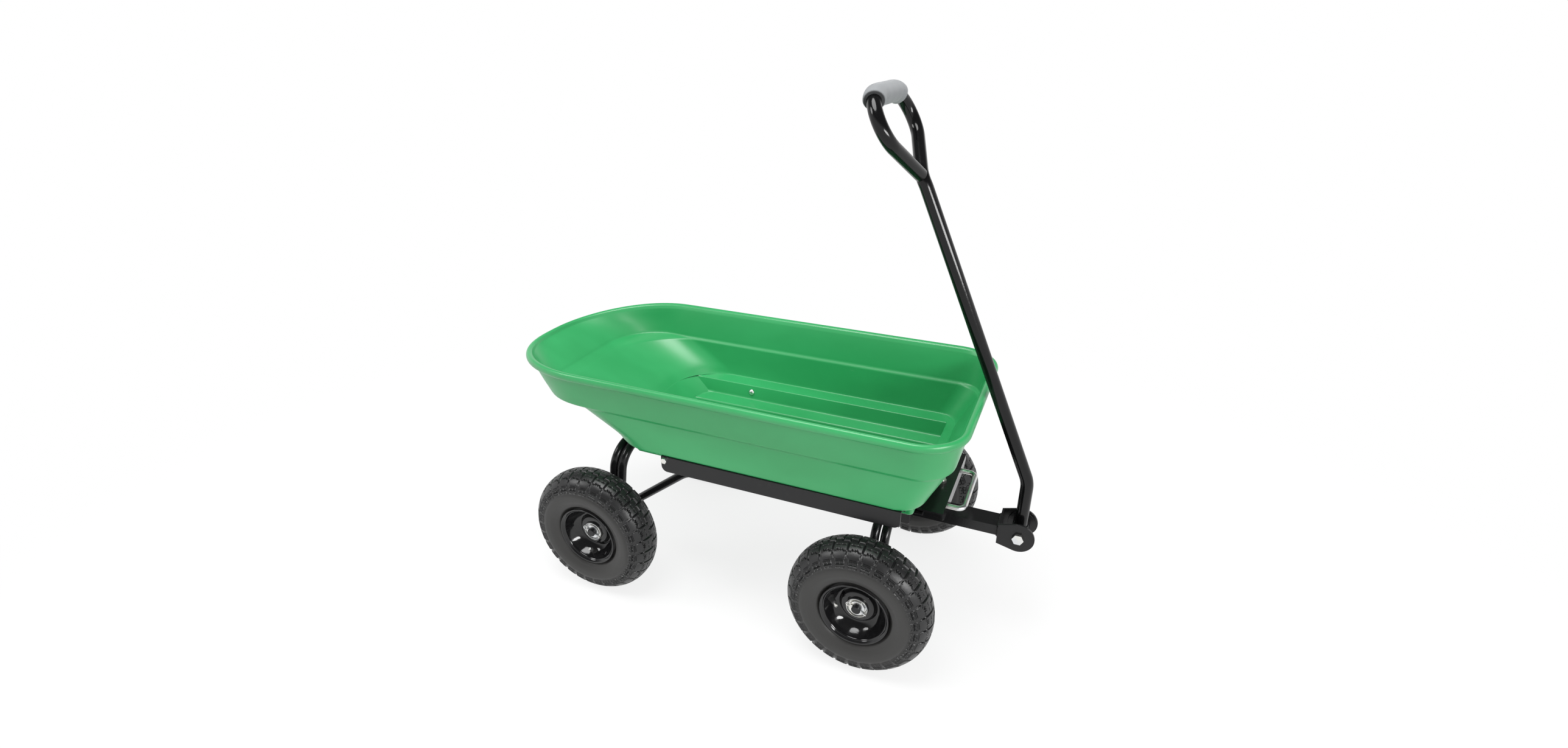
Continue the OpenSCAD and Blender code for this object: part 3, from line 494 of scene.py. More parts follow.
outer = np.array([
    # height, rear x, front x, half width, rear corner, front corner, share of the rim's dip, the bowl's half width
    [CHANNEL_Z, rear(CHANNEL_Z), channel_front - 1, CHANNEL_HALF - 4, 100, 9, 0, BOWL],
    [TROUGH_Z - 2, rear(TROUGH_Z - 2), channel_front, CHANNEL_HALF, 100, 9, 0, BOWL],
    [TROUGH_Z, rear(TROUGH_Z), channel_front + 1, CHANNEL_HALF + 2, 100, 9, 0, BOWL],
    [TROUGH_Z, rear(TROUGH_Z) - 0.5, TROUGH_FRONT - 1.5, TROUGH_HALF - 3, 100, 8, 0, BOWL],
    [TROUGH_Z + 3, rear(TROUGH_Z + 3), TROUGH_FRONT - 0.5, TROUGH_HALF - 1, 100, 8, 0, BOWL],
    [LEDGE_Z, rear(LEDGE_Z) + 0.6, TROUGH_FRONT, TROUGH_HALF + 3, 103, 8, 0, BOWL + 2],
    [LEDGE_Z, rear(LEDGE_Z), ledge_front, LEDGE_HALF - 1, 103, 44, 0, LEDGE_HALF - 1],
    [LEDGE_Z + 3, LEDGE_REAR, ledge_front + 3, LEDGE_HALF, 105, 46, 0, LEDGE_HALF],
    [LEDGE_Z + 17, rear(LEDGE_Z + 17), ledge_front + 10, LEDGE_HALF + 1, 113, 48, 0, LEDGE_HALF + 1],
    [SHOULDER_Z - 6, SLOPE_TOP, shoulder_front - 8, SHOULDER_HALF - SIDE_STEP, 143, 54, 0, SHOULDER_HALF - SIDE_STEP],
    [SHOULDER_Z - 1, SLOPE_TOP - 26, shoulder_front - 1.5, SHOULDER_HALF - 0.8, 116, 58, 0, SHOULDER_HALF - 0.8],
    [SHOULDER_Z + 4, SLOPE_TOP - 30, shoulder_front, SHOULDER_HALF, 118, 60, 0.05, SHOULDER_HALF],
    [(SHOULDER_Z + bead_low) / 2 + 2, -172, (shoulder_front + wall_front) / 2, mid_half, 145, 66, 0.5, mid_half],
    [bead_low + 1, -wall_rear, wall_front, wall_half, REAR_CORNER, FRONT_CORNER, 1, wall_half],
])
curl = radians(1) * (-80 + 14 * np.arange(17))  # round the rolled bead, from below and outside to the inside
out = BEAD_W * 0.5 * (1 + np.cos(curl)) - WALL * np.maximum(curl - np.pi / 2, 0) / (np.pi / 2)
rise = bead_low + BEAD_H / 2 * (1 + np.sin(curl))
bead = np.stack([
    rise, -wall_rear - out, wall_front + out, wall_half + out,
    REAR_CORNER + out, FRONT_CORNER + out, 1 + 0 * out, wall_half + out,
], 1)
inner = outer[::-1] + WALL * np.array([1, 1, -1, -1, -1, -1, 0, -1])
inner[:, 5] = np.maximum(inner[:, 5], 2)
reach = np.array([2, 1.5, 1.5, 2, 2, 2, 2, 2.5, 12, 2, 2, 2, 12, 1.5])
reaches = np.concatenate([reach, np.full(len(bead), 1.0), reach[::-1]])
rows = rounded(np.concatenate([outer, bead, inner]), reaches, 5, legs=[0, 3])
print("tub rows", rows.shape)

# %% Tub shell
def outlines(rows, corner=26, side=30, end=17):
    """For each row, the points of a rectangle with round corners: from the front left corner, along the
    left side to the rear, across, and back along the right side. A row that is narrower than the bowl
    cuts the bowl's round rear end, so that its sides meet the slope in a point. The rear edge bows out,
    and the rim dips by the square of the distance behind the rear axle."""
    z, rear, front, half, rr, rf, share, bowl = [rows[:, [k]] for k in range(8)]
    quarter = np.linspace(0, np.pi / 2, corner)[None]
    along, across = np.linspace(0, 1, side + 2)[None, 1:-1], np.linspace(0, 1, end + 2)[None, 1:-1]
    cut = np.arccos(np.clip((half - bowl + rr) / rr, 0, 1))
    sweep = cut + (np.pi / 2 - cut) * np.linspace(0, 1, corner)[None]
    run = lambda a, b, f: a + (b - a) * f
    start = rear + rr - rr * np.sin(cut)
    rear_arc = rear + rr - rr * np.sin(sweep), bowl - rr + rr * np.cos(sweep)
    front_arc = front - rf + rf * np.cos(quarter), half - rf + rf * np.sin(quarter)
    parts = [
        front_arc, (run(front - rf, start, along), half + 0 * along),
        rear_arc, (rear + 0 * across, run(bowl - rr, rr - bowl, across)),
        (rear_arc[0][:, ::-1], -rear_arc[1][:, ::-1]), (run(start, front - rf, along), -half + 0 * along),
        (front_arc[0][:, ::-1], -front_arc[1][:, ::-1]), (front + 0 * across, run(rf - half, half - rf, across)),
    ]
    x, y = [np.concatenate([p[k] for p in parts], 1) for k in (0, 1)]
    x = np.where(x < rear + rr, x - share * RIM_BOW * (1 - (y / half) ** 2), x)
    dip = np.where(x < 0, RIM_DROP * (x / (RIM_REAR + RIM_BOW)) ** 2, 0)
    return np.stack([x - MIDDLE_X, y, z - share * dip], -1)


tub = put(skin("tub_shell", outlines(rows), capped=True), tub_plastic, "tub", "tub", sharp=50)
print("tub faces", len(tub.data.polygons))

# %% [markdown]
# ## Wheels
# Each wheel has a block tread tyre on a dished rim. The tyre's section is a superellipse. The tread is
# a height that is taken off or put on along the surface normal, as a function of the turn round the
# wheel and the distance from the crown: cross grooves between the blocks, a broken line round the
# middle, zigzag cuts across each block, and small frames on the shoulder.

# %% Tyre section
TYRE_R, TYRE_HALF, SEAT_R, RIM_R, LIP_Y = 129.0, 40.0, 53.4, 61.0, 33.0
HALF_TRACK, WHEELBASE = 207.5, 541.0
BLOCKS, TURNS, TREAD_HALF = 30, 720, 58
power = lambda v: np.sign(v) * np.abs(v) ** (2 / 2.15)
a = np.linspace(radians(-58), radians(238), 2001)
high, mid = (TYRE_R - SEAT_R) / 2, (TYRE_R + SEAT_R) / 2
section = np.stack([mid + high * power(np.sin(a)), TYRE_HALF * power(np.cos(a))], 1)
length = walked(section)
half_length = length[-1] / 2
wall_steps = np.linspace(TREAD_HALF, half_length, 16)[1:]
from_crown = np.concatenate([-wall_steps[::-1], np.linspace(-TREAD_HALF, TREAD_HALF, 99), wall_steps])
section = np.stack([np.interp(from_crown + half_length, length, section[:, k]) for k in (0, 1)], 1)
slope = np.gradient(section, from_crown, axis=0)
normal = np.stack([-slope[:, 1], slope[:, 0]], 1) / np.linalg.norm(slope, axis=1)[:, None]
normal *= np.sign(np.sum(normal * (section - [mid, 0]), 1))[:, None]
print("tyre section", round(2 * half_length, 1), "mm from bead to bead")

# %% Tread
def notch(distance, width, depth, edge=0.55):
    """A groove: its depth within half a width of a line, with steep sides."""
    return -depth * np.clip((width / 2 + edge - np.abs(distance)) / edge, 0, 1)


def outlined(u, v, half_u, half_v, line):
    """A raised rectangular outline about the origin with a bar across its middle: 1 on it and 0 off it."""
    box = np.maximum(np.abs(u) - half_u, np.abs(v) - half_v)
    bar = np.maximum(np.abs(u) - line / 2, np.abs(v) - half_v)
    return np.clip(1.5 - np.minimum(np.abs(box + line / 2) / (line / 2), 0.5 + np.maximum(bar, 0) * 2), 0, 1)


def tread(turn, s):
    """Height of the tread in millimetres over the plain section. One block is a pitch long; u runs round
    the wheel from a block's middle and s across from the crown, and the two halves are half a pitch apart."""
    pitch = 2 * np.pi * TYRE_R / BLOCKS
    turns = turn / (2 * np.pi) * BLOCKS
    u = ((turns + np.where(s > 0, 0.0, 0.5)) % 1.0 - 0.5) * pitch
    out = np.abs(s)
    # The middle has a groove that jumps from side to side, joined by short cuts.
    wave = np.where((turns % 1.0) < 0.5, 1.0, -1.0)
    join = np.abs((turns % 0.5 - 0.25)) * pitch
    middle = np.minimum(notch(s - 3.6 * wave, 1.8, 2.6), np.where(out < 4.4, notch(0.25 * pitch - join, 1.4, 2.6), 0))
    # Each block has a broken line and a zigzag cut, and the grooves between blocks flare towards the shoulder.
    broken = notch(out - 12.0, 1.1, 1.7) * (np.abs(np.abs(u) - pitch * 0.2) < pitch * 0.13)
    zig = np.where(np.abs(u) < pitch * 0.24, np.abs((u / pitch * 6.25 + 0.25) % 1.0 - 0.5) * 4 - 1, 1.6)
    cut = notch(out - 22.0 - 1.5 * zig, 1.3, 2.2) * (np.abs(u) < pitch * 0.43)
    flare = 2.0 + 3.6 * np.clip((out - 22) / 14, 0, 1) ** 2
    fade = np.clip((out - 3.6) / 0.6, 0, 1) * (1 - 0.55 * np.clip((out - 26) / 12, 0, 1))
    across = notch(pitch / 2 - np.abs(u), flare, 3.0) * fade * (out < 57)
    height = np.minimum(np.minimum(middle, broken), np.minimum(cut, across))
    # The shoulder has round block ends, a sunk band, and two rows of raised frames on it.
    corner = np.hypot(np.clip(np.abs(u) - pitch * 0.28, 0, None), np.clip(out - 35.0, 0, None))
    shelf = np.clip((corner - 3.0) / 1.0, 0, 1) * (out > 31)
    sunk = -1.5 * np.maximum(shelf, np.clip((out - 39.0) / 0.9, 0, 1)) * np.clip((59 - out) / 2.5, 0, 1)
    height = np.minimum(height, sunk)
    row_in = outlined(u, out - 44.0, pitch * 0.37, 2.9, 1.3)
    row_out = outlined(u, out - 51.4, pitch * 0.36, 3.0, 1.3)
    frames = np.maximum(row_in, row_out)
    height = np.where(out > 40.2, height + 1.6 * frames, height)
    # The sidewall has three fine rings.
    ring = lambda at, wide: np.exp(-((out - half_length + at) / wide) ** 2)
    return height + 0.7 * ring(14, 1.6) - 0.5 * ring(18.5, 1.2) + 0.4 * ring(29, 0.9)


turn = np.linspace(0, 2 * np.pi, TURNS, endpoint=False)
height = np.minimum(tread(turn[None, :], from_crown[:, None]), 0.9)
radius = section[:, :1] + normal[:, :1] * height
outward = section[:, 1:] + normal[:, 1:] * height
inner_wall = np.array([[SEAT_R + 0.1, -26], [SEAT_R + 0.1, -19], [80, -32], [115, -22], [121, 0],
                       [115, 22], [80, 32], [SEAT_R + 0.1, 19], [SEAT_R + 0.1, 26]])
print("tread from", round(float(height.min()), 2), "to", round(float(height.max()), 2), "mm")

# %% Tyres
def tyre_grid(centre, side, spin):
    """The tread's radius and outward distance laid round the wheel's axle, then the plain hollow inside."""
    angle = turn + spin
    grid = lambda r, o: np.stack(np.broadcast_arrays(centre[0] + r * np.cos(angle), centre[1] + side * o,
                                                     centre[2] + r * np.sin(angle)), -1)
    return np.concatenate([grid(radius, outward), grid(inner_wall[:, :1], inner_wall[:, 1:])])


across_map = np.concatenate([from_crown / half_length / 2 + 0.5, np.full(len(inner_wall) + 1, 1.0)])
tyre_map = np.stack(np.broadcast_arrays(np.linspace(0, 1, TURNS + 1)[None, :], across_map[:, None]), -1)
WHEELS = [(end, hand, (x - MIDDLE_X, side * HALF_TRACK, TYRE_R), side)
          for end, x in (("rear", 0.0), ("front", WHEELBASE)) for hand, side in (("left", 1), ("right", -1))]
for k, (end, hand, centre, side) in enumerate(WHEELS):
    name = f"{end}_{hand}"
    mesh = skin(name + "_tread", tyre_grid(centre, side, 0.05 * k), closed=True, flat_map=tyre_map)
    put(mesh, tyre_rubber, name + "_wheel", name + "_tyre", sharp=48)
print("tyre faces", len(mesh.polygons))

# %% [markdown]
# The rim is pressed from sheet: a rolled lip, a bead seat, a sloping wall down to the dish, and a raised
# flat round the hub. The bearing is a bright cup with a rolled edge. Both are profiles turned about the
# axle with their corners eased.

# %% Rims, bearings and valves
DISH_R, BOSS_R, HUB_R, HUB_OUT, HUB_IN, SHEET = 42.0, 30.0, 19.5, 10.5, 40.0, 2.5
rim_corners = np.array([
    # radius, distance outwards, reach of the corner's easing
    [DISH_R + 1, 0.5, 1], [DISH_R + 4.5, 9.5, 4], [SEAT_R, LIP_Y - 16, 3], [SEAT_R, LIP_Y - 5, 1.5],
    [SEAT_R + 1.6, LIP_Y - 2.9, 1], [RIM_R - 3, LIP_Y - 1.9, 1], [RIM_R, LIP_Y - 1.2, 0.8], [RIM_R, LIP_Y + 0.3, 0.9],
    [RIM_R - 2.2, LIP_Y + 0.6, 1.2], [SEAT_R + 1.6, LIP_Y - 3.2, 3.5], [SEAT_R - 2, LIP_Y - 12, 5],
    [DISH_R + 3.4, 10.0, 7], [DISH_R - 4.5, 3.0, 6], [BOSS_R + 3.2, 2.8, 2], [BOSS_R + 0.6, HUB_OUT - 1.8, 2],
    [BOSS_R - 1.5, HUB_OUT, 2], [HUB_R + 0.3, HUB_OUT, 0.4], [HUB_R + 0.3, HUB_OUT - SHEET, 0.4],
    [BOSS_R - 2.5, HUB_OUT - SHEET, 1], [BOSS_R - 1, HUB_OUT - SHEET - 1.2, 1], [BOSS_R + 1.6, 0.5, 0.6],
])
rim_path = np.concatenate([rim_corners, rim_corners[::-1] * [1, -1, 1]])
rim_section = rounded(rim_path[:, :2], rim_path[:, 2], 6, closed=True)
AXLE_R, CUP = 8.0, 4.2
cup_corners = np.array([
    [AXLE_R + 0.1, -8], [AXLE_R + 0.1, -0.4], [AXLE_R + 3.4, -0.4], [AXLE_R + 4.2, -3.0], [HUB_R - 3.4, -3.0],
    [HUB_R - 1.9, 0.6], [HUB_R - 1.6, CUP - 0.2], [HUB_R - 1.0, CUP], [HUB_R - 0.4, CUP - 0.3],
    [HUB_R - 0.2, 0.05], [HUB_R - 3.1, 0.05], [HUB_R - 3.1, -8],
])
cup_section = rounded(cup_corners, 0.8, 5, closed=True)
foot_in, foot_out = np.array([DISH_R + 2, 10.5]), np.array([SEAT_R - SHEET, LIP_Y - 15])
valve_foot = (foot_in + foot_out) / 2
wall_lean = np.arctan2(foot_out[1] - foot_in[1], foot_out[0] - foot_in[0])
VALVE_TURN = {"rear": 92.0, "front": 190.0}


def valve_stations(end, centre, side, along):
    """Stations along a valve's line, which stands square on the dish's sloping wall and points in to the
    hub and out of the wheel. The turn is counted as the solids count it, from +X towards the ground."""
    turn = radians(VALVE_TURN[end])
    radial = np.array([np.cos(turn), 0, -np.sin(turn)])
    outward = np.array([0, side, 0])
    aim = -np.sin(wall_lean) * radial + np.cos(wall_lean) * outward
    x = np.cross(outward, radial)
    start = np.array(centre) + valve_foot[0] * radial + valve_foot[1] * outward
    m = np.tile(np.eye(4), (len(along), 1, 1))
    m[:, :3, 0], m[:, :3, 1] = x, np.cross(aim, x)
    m[:, :3, 3] = start + np.asarray(along, float)[:, None] * aim
    return m


# distance along the valve, radius
stem_line = rounded([[-2, 0.2], [-2, 6.4], [1.5, 6.2], [4, 5.0], [13, 4.3], [14, 3.6], [14.1, 0.2]], 1.0, 5)
core_line = rounded([[13, 0.2], [13, 2.9], [21, 2.9], [21.6, 2.2], [21.6, 1.5], [19, 1.3], [19, 0.1]], 0.5, 4)
for end, hand, centre, side in WHEELS:
    name = f"{end}_{hand}"
    wheel = name + "_wheel"
    face = lambda y: (centre[0], centre[1] + side * y, centre[2])
    dish = turned(rim_section, centre, side)
    put(skin(name + "_dish", dish, closed=True), rim_enamel, wheel, name + "_rim", sharp=60)
    cup = turned(cup_section, face(HUB_OUT), side, 96)
    put(skin(name + "_cup", cup, closed=True), zinc_plate, wheel, name + "_bearing", sharp=50)
    cup = turned(cup_section, face(-HUB_IN), -side, 96)
    put(skin(name + "_inner_cup", cup, closed=True), zinc_plate, wheel, sharp=50)
    stem = tube(valve_stations(end, centre, side, stem_line[:, 0]), stem_line[:, 1], 28)
    put(skin(name + "_stem", stem, capped=True), valve_rubber, wheel, name + "_valve", sharp=50)
    core = tube(valve_stations(end, centre, side, core_line[:, 0]), core_line[:, 1], 24)
    put(skin(name + "_core", core, capped=True), zinc_plate, wheel, sharp=50)
    NODES[name + "_hub"].data.materials.clear()
    NODES[name + "_hub"].data.materials.append(rim_enamel.material)
print("rim section", rim_section.shape, "cup section", cup_section.shape)

# %% [markdown]
# ## Bent tubes
# The arches over the axles, the two braces, the latch wire and the handle are all bent on the same kind
# of bender, so one bending table each is enough. The sizes are the solids' own.

# %% Arches, braces and latch wire
TUBE_R, BEAM_TOP, ARCH_BEND, HALF_PITCH = 8.5, 143.0, 45.0, 9.5
ARCHES = [
    # end, x, half width, top, lean in degrees
    ("rear", 0.0, 136.0, 270.0, 8.0), ("front", WHEELBASE, 100.0, 209.5, 0.0),
]


def arch_table(half, top, lean):
    """Up one leg, a quarter bend, across, another quarter bend, and down the other leg."""
    leg = (top - BEAM_TOP) / np.cos(radians(lean)) - ARCH_BEND
    return [[leg, ARCH_BEND, 90, 90], [2 * (half - ARCH_BEND), ARCH_BEND, 90, 0], [leg, 0, 0, 0]]


for end, x, half, top, lean in ARCHES:
    for place, off in (("front", HALF_PITCH), ("back", -HALF_PITCH)):
        start = move(x + off - MIDDLE_X, -half, BEAM_TOP) @ turn_y(radians(lean))
        name = f"{end}_arch_{place}"
        mesh = skin(name + "_tube", tube(bent(arch_table(half, top, lean), start), TUBE_R), capped=True)
        put(mesh, powder_coat, BODY[name], name, sharp=60)

RISE_DEG, BRACE_Z, BRACE_HALF, BRACE_FRONT, FOOT_X, FOOT_Z = 38, 238.8, 108.0, 32.0, 20.0, 133.0
BRACE_BEND, BETWEEN, SUNK, PAST_AXLE = 60, 10, 6, 25
RISE = radians(RISE_DEG)
level = WHEELBASE + PAST_AXLE - FOOT_X - (BRACE_Z - FOOT_Z) / tan(RISE)
inward = np.arctan((BRACE_HALF - BRACE_FRONT) / level)
corner = BRACE_BEND * tan(RISE / 2)
brace_table = [
    [(BRACE_Z - FOOT_Z) / np.sin(RISE) - corner + SUNK, BRACE_BEND, RISE_DEG, 0],
    [BETWEEN, BRACE_BEND, np.degrees(inward), -90],
    [level / np.cos(inward) - corner - BETWEEN - 2 * BRACE_BEND * tan(inward / 2), 0, 0, 0],
]
brace_foot = move(FOOT_X - MIDDLE_X, BRACE_HALF, FOOT_Z) @ turn_y(np.pi / 2 - RISE) @ move(0, 0, -SUNK)
stations = bent(brace_table, brace_foot)
for name, side in (("brace_left", 1), ("brace_right", -1)):
    mesh = skin(name + "_tube", tube(stations, TUBE_R) * [1, side, 1], capped=True)
    put(mesh, powder_coat, BODY[name], name, sharp=60)

WIRE_R, WIRE_HALF, WIRE_Z, LIP_X = 4.5, 62.0, 264.5, 650.0
WIRE_BEND, WIRE_IN, WIRE_OUT = 12, 29, 32
depth = WIRE_OUT - WIRE_R + WIRE_IN
wire_table = [[2 * (WIRE_HALF - WIRE_BEND), WIRE_BEND, 90, 0], [depth - 2 * WIRE_BEND, WIRE_BEND, 90, 0]] * 2
crosswise = np.array([[1, 0, 0, 0], [0, 0, 1, 0], [0, -1, 0, 0], [0, 0, 0, 1]])  # the local z axis lies along y
start = move(LIP_X - WIRE_IN - MIDDLE_X, -WIRE_HALF + WIRE_BEND, WIRE_Z) @ crosswise
wire = bent(wire_table, start)[:-1]
put(skin("latch_wire", tube(wire, WIRE_R, 28), closed=True), zinc_plate, "latch", "latch_loop", sharp=60)
print("brace inward", round(float(np.degrees(inward)), 1), "degrees")

# %% [markdown]
# The handle starts at the clevis bolt, bends back and runs up to a loop that closes on itself. A grey
# foam sleeve covers the loop's top bar and a little of both corners. Foam is cut a touch long, so its
# ends bulge. Each end and the bore are painted in shade, which shows as a dark ring.

# %% Handle and grip
PIN_X, HANDLE_R, BUSH_TOP, FOAM_R, FOAM_END = 772, 11.0, 14.5, 16.9, 4
PIN = (PIN_X - MIDDLE_X, 0, 207)
SPREAD, LOOP_R, APEX_R, BAR, GRIP_TURN = 52.0, 45.0, 28.0, 88.0, 32.0
arm = (BAR / 2 + LOOP_R * np.cos(radians(SPREAD)) - APEX_R * (1 - np.cos(radians(SPREAD)))) / np.sin(radians(SPREAD))
handle_table = [
    [88, 60, 24, 180], [522, 60, 5, 0], [0, APEX_R, SPREAD, -90], [arm, LOOP_R, 90 + SPREAD - GRIP_TURN, 180],
    [0, LOOP_R, GRIP_TURN, 0], [BAR, LOOP_R, GRIP_TURN, 0], [0, LOOP_R, 90 + SPREAD - GRIP_TURN, 0],
    [arm + APEX_R * tan(radians(SPREAD / 2)) - 4.4, 0, 0, 0],
]
stations = bent(handle_table, move(*PIN))
stations[0, :3, 3] += [0, 0, BUSH_TOP]
put(skin("pull_handle", tube(stations, HANDLE_R, 48), capped=True), handle_enamel, "handle", "handle_tube", sharp=60)

rolls = radians(sum(step[3] for step in handle_table[:4]))
sleeve = bent(handle_table[4:6], bent(handle_table[:4], move(*PIN))[-1] @ turn_z(rolls), 2.0)
way = walked(sleeve[:, :3, 3])
tail = way[-1] - FOAM_END
middle = np.linspace(FOAM_END, tail, 120)[1:-1]
fine = np.concatenate([np.linspace(0, FOAM_END, 12), middle, np.linspace(tail, way[-1], 12)])
index = np.clip(np.searchsorted(way, fine, side="right") - 1, 0, len(way) - 2)
share = ((fine - way[index]) / (way[index + 1] - way[index]))[:, None, None]
sleeve = sleeve[index] * (1 - share) + sleeve[index + 1] * share
edge = np.minimum(fine, way[-1] - fine)
swell = FOAM_R - 1.6 * np.exp(-(edge / 1.1) ** 2) + 0.25 * np.sin(fine * 0.21) * np.exp(-edge / 60)
bore = tube(sleeve[::-1][::8], HANDLE_R + 0.2, 56)
# Small values at the ends and 0 in the bore mark where painted shade darkens the foam.
end_shade_map = np.concatenate([edge / 10, np.zeros(len(bore) + 1)])
grip_map = np.stack(np.broadcast_arrays(np.linspace(0, 1, 57)[None, :], end_shade_map[:, None]), -1)
mesh = skin("foam_grip", np.concatenate([tube(sleeve, swell, 56), bore]), closed=True, flat_map=grip_map)
put(mesh, grip_foam, "handle", "grip", sharp=60)
print("grip length", round(float(way[-1]), 1), "mm")

# %% [markdown]
# ## Folded and machined steel
# These parts keep the shape of their solids. A copy of each is merged, its flat faces joined, and its
# edges eased by a small bevel, because no real edge is perfectly sharp and the eased edge catches light.

# %% Eased copies
def eased(node, finish, width, sharp=35, ahead=None):
    """A copy of a node with its loose triangles merged, flat neighbours joined and its edges bevelled.
    What lies further ahead than `ahead` metres is left off."""
    mesh = NODES[node].data.copy()
    mesh.name = node + "_eased"
    mesh.materials.clear()
    shape = bmesh.new()
    shape.from_mesh(mesh)
    bmesh.ops.remove_doubles(shape, verts=shape.verts, dist=2e-6)
    if ahead is not None:
        bmesh.ops.delete(shape, geom=[v for v in shape.verts if v.co.x > ahead], context="VERTS")
    bmesh.ops.dissolve_limit(shape, angle_limit=radians(0.6), verts=shape.verts, edges=shape.edges)
    shape.to_mesh(mesh)
    shape.free()
    ob = put(mesh, finish, BODY[node], node, sharp=sharp)
    if width:
        bevel = ob.modifiers.new("eased", "BEVEL")
        bevel.width, bevel.segments, bevel.limit_method = width * MM, 2, "ANGLE"
        bevel.angle_limit, bevel.harden_normals = radians(40), True
    return ob


for node in ("bolster", "turntable", "front_rest", "tongue", "clevis", "rail_left",
             "rail_right", "hinge_left", "hinge_right", "latch_plate"):
    eased(node, powder_coat, 0.8)
for node in ("handle_bush", "handle_washers"):
    eased(node, powder_coat, 0.4)
for node in ("rear_washers", "front_washers", "rear_cotters", "front_cotters", "kingpin", "clevis_bolt", "latch_bolt"):
    eased(node, zinc_plate, 0.3)
eased("rail_bolts", zinc_plate, 0.3, ahead=0.1)
print("eased parts done")

# %% [markdown]
# ## Axle blocks
# No bar crosses between the legs in the picture: each pair of legs stands on a block with a stub of the
# axle in it. A block is a rounded section carried sideways, and a stub a turned profile. Each is made
# for one side and mirrored to the other.

# %% Axle blocks and stubs
def both_sides(mesh, body, node):
    """A piece for the left side with its mirror image on the right."""
    ob = put(mesh, powder_coat, body, node, sharp=35)
    ob.modifiers.new("both_sides", "MIRROR").use_axis = (False, True, False)


for end, start, body in (("rear", 98.0, "chassis"), ("front", 62.0, "steering")):
    low, high = [np.array(corner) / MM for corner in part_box(end + "_beam")]
    edge = rounded([[low[0], low[2]], [high[0], low[2]], [high[0], high[2]], [low[0], high[2]]], 3, 6, closed=True)
    middle = edge.mean(0)
    stops = np.array([[start, 0.93], [start + 1.4, 1.0], [high[1] - 1.4, 1.0], [high[1], 0.93]])
    ring = middle + (edge - middle) * stops[:, None, 1:]
    block = np.stack(np.broadcast_arrays(ring[..., 0], stops[:, :1], ring[..., 1]), -1)
    both_sides(skin(end + "_blocks", block, capped=True), body, end + "_beam")
    low, high = [np.array(corner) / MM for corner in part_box(end + "_axle")]
    axle = np.array([[AXLE_R, start + 4], [AXLE_R, high[1] - 1.2], [AXLE_R - 1.2, high[1]]])
    centre = (low[0] + high[0]) / 2, 0, (low[2] + high[2]) / 2
    both_sides(skin(end + "_stubs", turned(axle, centre, 1, 48), capped=True), body, end + "_axle")
    print(end, "blocks from", start, "to", round(high[1], 1))

# %% [markdown]
# ## Welds
# The frame is welded. A weld bead is a small round rod with ripples, laid along the line where two
# parts meet, so it is a circle carried round that line with a radius that rises and falls.

# %% Weld beads
def bead_along(name, line, radius, body, ripple=2.2):
    """A rippled rod along a closed line of points: the line is walked at even steps, and the rod's radius
    is radius times (1 + 0.14 sin of the ripples)."""
    line = np.asarray(line, float)
    loop = np.concatenate([line, line[:1]])
    way = walked(loop)
    steps = max(24, int(way[-1] / 0.7))
    t = np.linspace(0, way[-1], steps, endpoint=False)
    p = np.stack([np.interp(t, way, loop[:, k]) for k in range(3)], 1)
    along = np.roll(p, -1, 0) - np.roll(p, 1, 0)
    along /= np.linalg.norm(along, axis=1)[:, None]
    middle = p - p.mean(0)
    x = middle - np.sum(middle * along, 1)[:, None] * along
    x /= np.linalg.norm(x, axis=1)[:, None]
    m = np.tile(np.eye(4), (steps, 1, 1))
    m[:, :3, 0], m[:, :3, 1], m[:, :3, 3] = x, np.cross(along, x), p
    size = radius * (1 + 0.14 * np.sin(2 * np.pi * t / ripple) + 0.08 * np.sin(t * 0.9))
    return put(skin(name, tube(m, size, 12), closed=True), powder_coat, body)


def circle_at(x, y, z, r, lean=0.0):
    """A level ring of points round a tube's foot, stretched by the tube's lean."""
    t = np.linspace(0, 2 * np.pi, 48, endpoint=False)
    return np.stack([x - MIDDLE_X + r / np.cos(lean) * np.cos(t), y + r * np.sin(t), z + 0 * t], 1)


feet = [(off, side) for off in (HALF_PITCH, -HALF_PITCH) for side in (1, -1)]
for end, x, half, _, lean in ARCHES:
    for k, (off, side) in enumerate(feet):
        ring = circle_at(x + off, side * half, BEAM_TOP + 0.6, TUBE_R + 0.6, radians(lean))
        bead_along(f"{end}_foot_weld_{k}", ring, 1.7, BODY[f"{end}_arch_front"])
back_x = PIN_X - 36 - MIDDLE_X
seam = [[back_x, y, z] for y, z in ((-20.6, 197.4), (20.6, 197.4), (20.6, 218.6), (-20.6, 218.6))]
bead_along("clevis_weld", rounded(seam, 3, 5, closed=True) - [0.6, 0, 0], 2.0, "steering")
t = np.linspace(0, 2 * np.pi, 64, endpoint=False)
SEAM_R, BUSH_R = HANDLE_R + 0.6, 15.2
seam_z = PIN[2] + np.sqrt(BUSH_R ** 2 - (SEAM_R * np.cos(t)) ** 2)
saddle = np.stack([PIN[0] + SEAM_R * np.cos(t), SEAM_R * np.sin(t), seam_z], 1)
bead_along("bush_weld", saddle, 1.8, "handle")

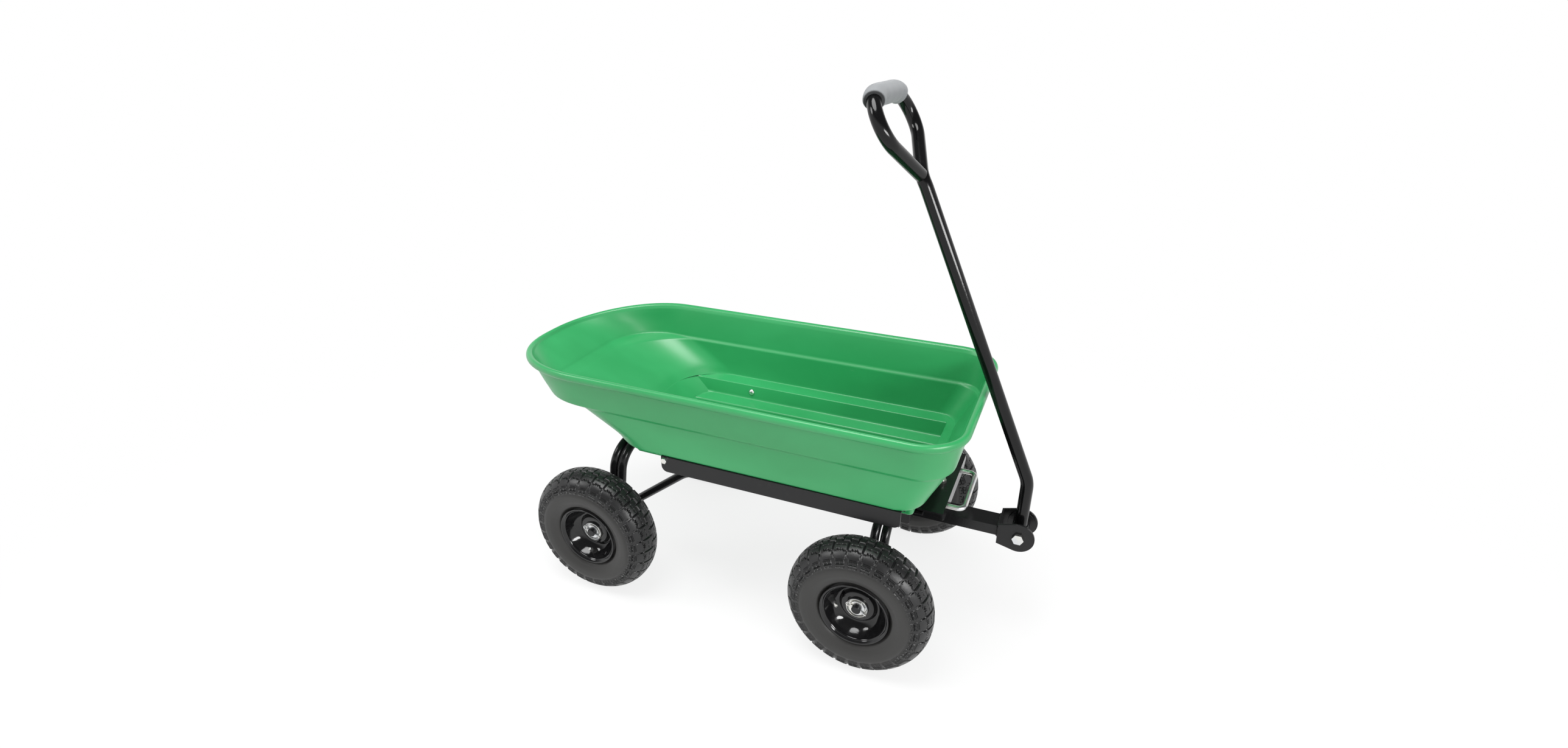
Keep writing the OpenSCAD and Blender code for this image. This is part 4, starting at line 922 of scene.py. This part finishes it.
# %% [markdown]
# ## Floor
# The floor is pale and takes the cart's shadow. Seen by the camera or in a reflection it is lifted towards
# white, fully so far from the cart. The sky is white to the camera. Reflections see a white backdrop that
# fades to grey overhead, as in a studio, and the light that falls on the cart is softest from above.

# %% Floor and sky
floor_finish = Finish("floor", "")
tone = floor_finish.noise(0.6, 2.0)
floor_finish.set(Base_Color=floor_finish.mix(tone, rgb(0.76, 0.76, 0.76), rgb(0.80, 0.80, 0.80)), Roughness=0.9)
rays = floor_finish.node("ShaderNodeLightPath")
shine = floor_finish.node("ShaderNodeEmission", None, {"Color": rgb(1, 1, 1), "Strength": 1.0})
away = floor_finish.node("ShaderNodeVectorMath", {"operation": "LENGTH"}, {0: floor_finish.place}).val("Value")
seen = rays.val("Is Camera Ray") + rays.val("Is Glossy Ray") + rays.val("Is Transmission Ray")
lift = seen * (0.80 + away.step(0.7, 1.7) * 0.20)
blend = floor_finish.node("ShaderNodeMixShader", None, {0: lift, 1: floor_finish.shader.outputs[0], 2: shine.out(0)})
floor_finish.tree.links.new(blend.out(0), floor_finish.tree.nodes["Material Output"].inputs["Surface"])
FLOOR_HALF = 14000.0
stops = np.linspace(-FLOOR_HALF, FLOOR_HALF, 9)
floor_grid = np.stack(np.meshgrid(stops, stops, [0.0], indexing="ij"), -1)[:, :, 0]
floor = bpy.data.objects.new("floor", skin("floor", floor_grid, around=False))
floor.data.materials.append(floor_finish.material)
scene.collection.objects.link(floor)
sky = bpy.data.worlds.new("sky")
scene.world = sky
sky.use_nodes = True
air = Nodes(sky.node_tree)
paint = air.tree.nodes["Background"]
look = air.node("ShaderNodeTexCoord").out("Generated")
height = air.node("ShaderNodeSeparateXYZ", None, {0: look}).val("Z")
rays = air.node("ShaderNodeLightPath")
mirrored = rays.val("Is Glossy Ray") + rays.val("Is Transmission Ray")
soft = 0.20 + height.step(-0.1, 0.9) * 0.75
backdrop = 1.0 - height.step(0.12, 0.5) * 0.86
shown = rays.val("Is Camera Ray")
air.feed(paint.inputs["Strength"], shown + (1.0 - shown) * (mirrored * backdrop + (1.0 - mirrored) * soft))
paint.inputs["Color"].default_value = rgb(1, 1, 1)
print("floor", FLOOR_HALF * MM, "m each way")
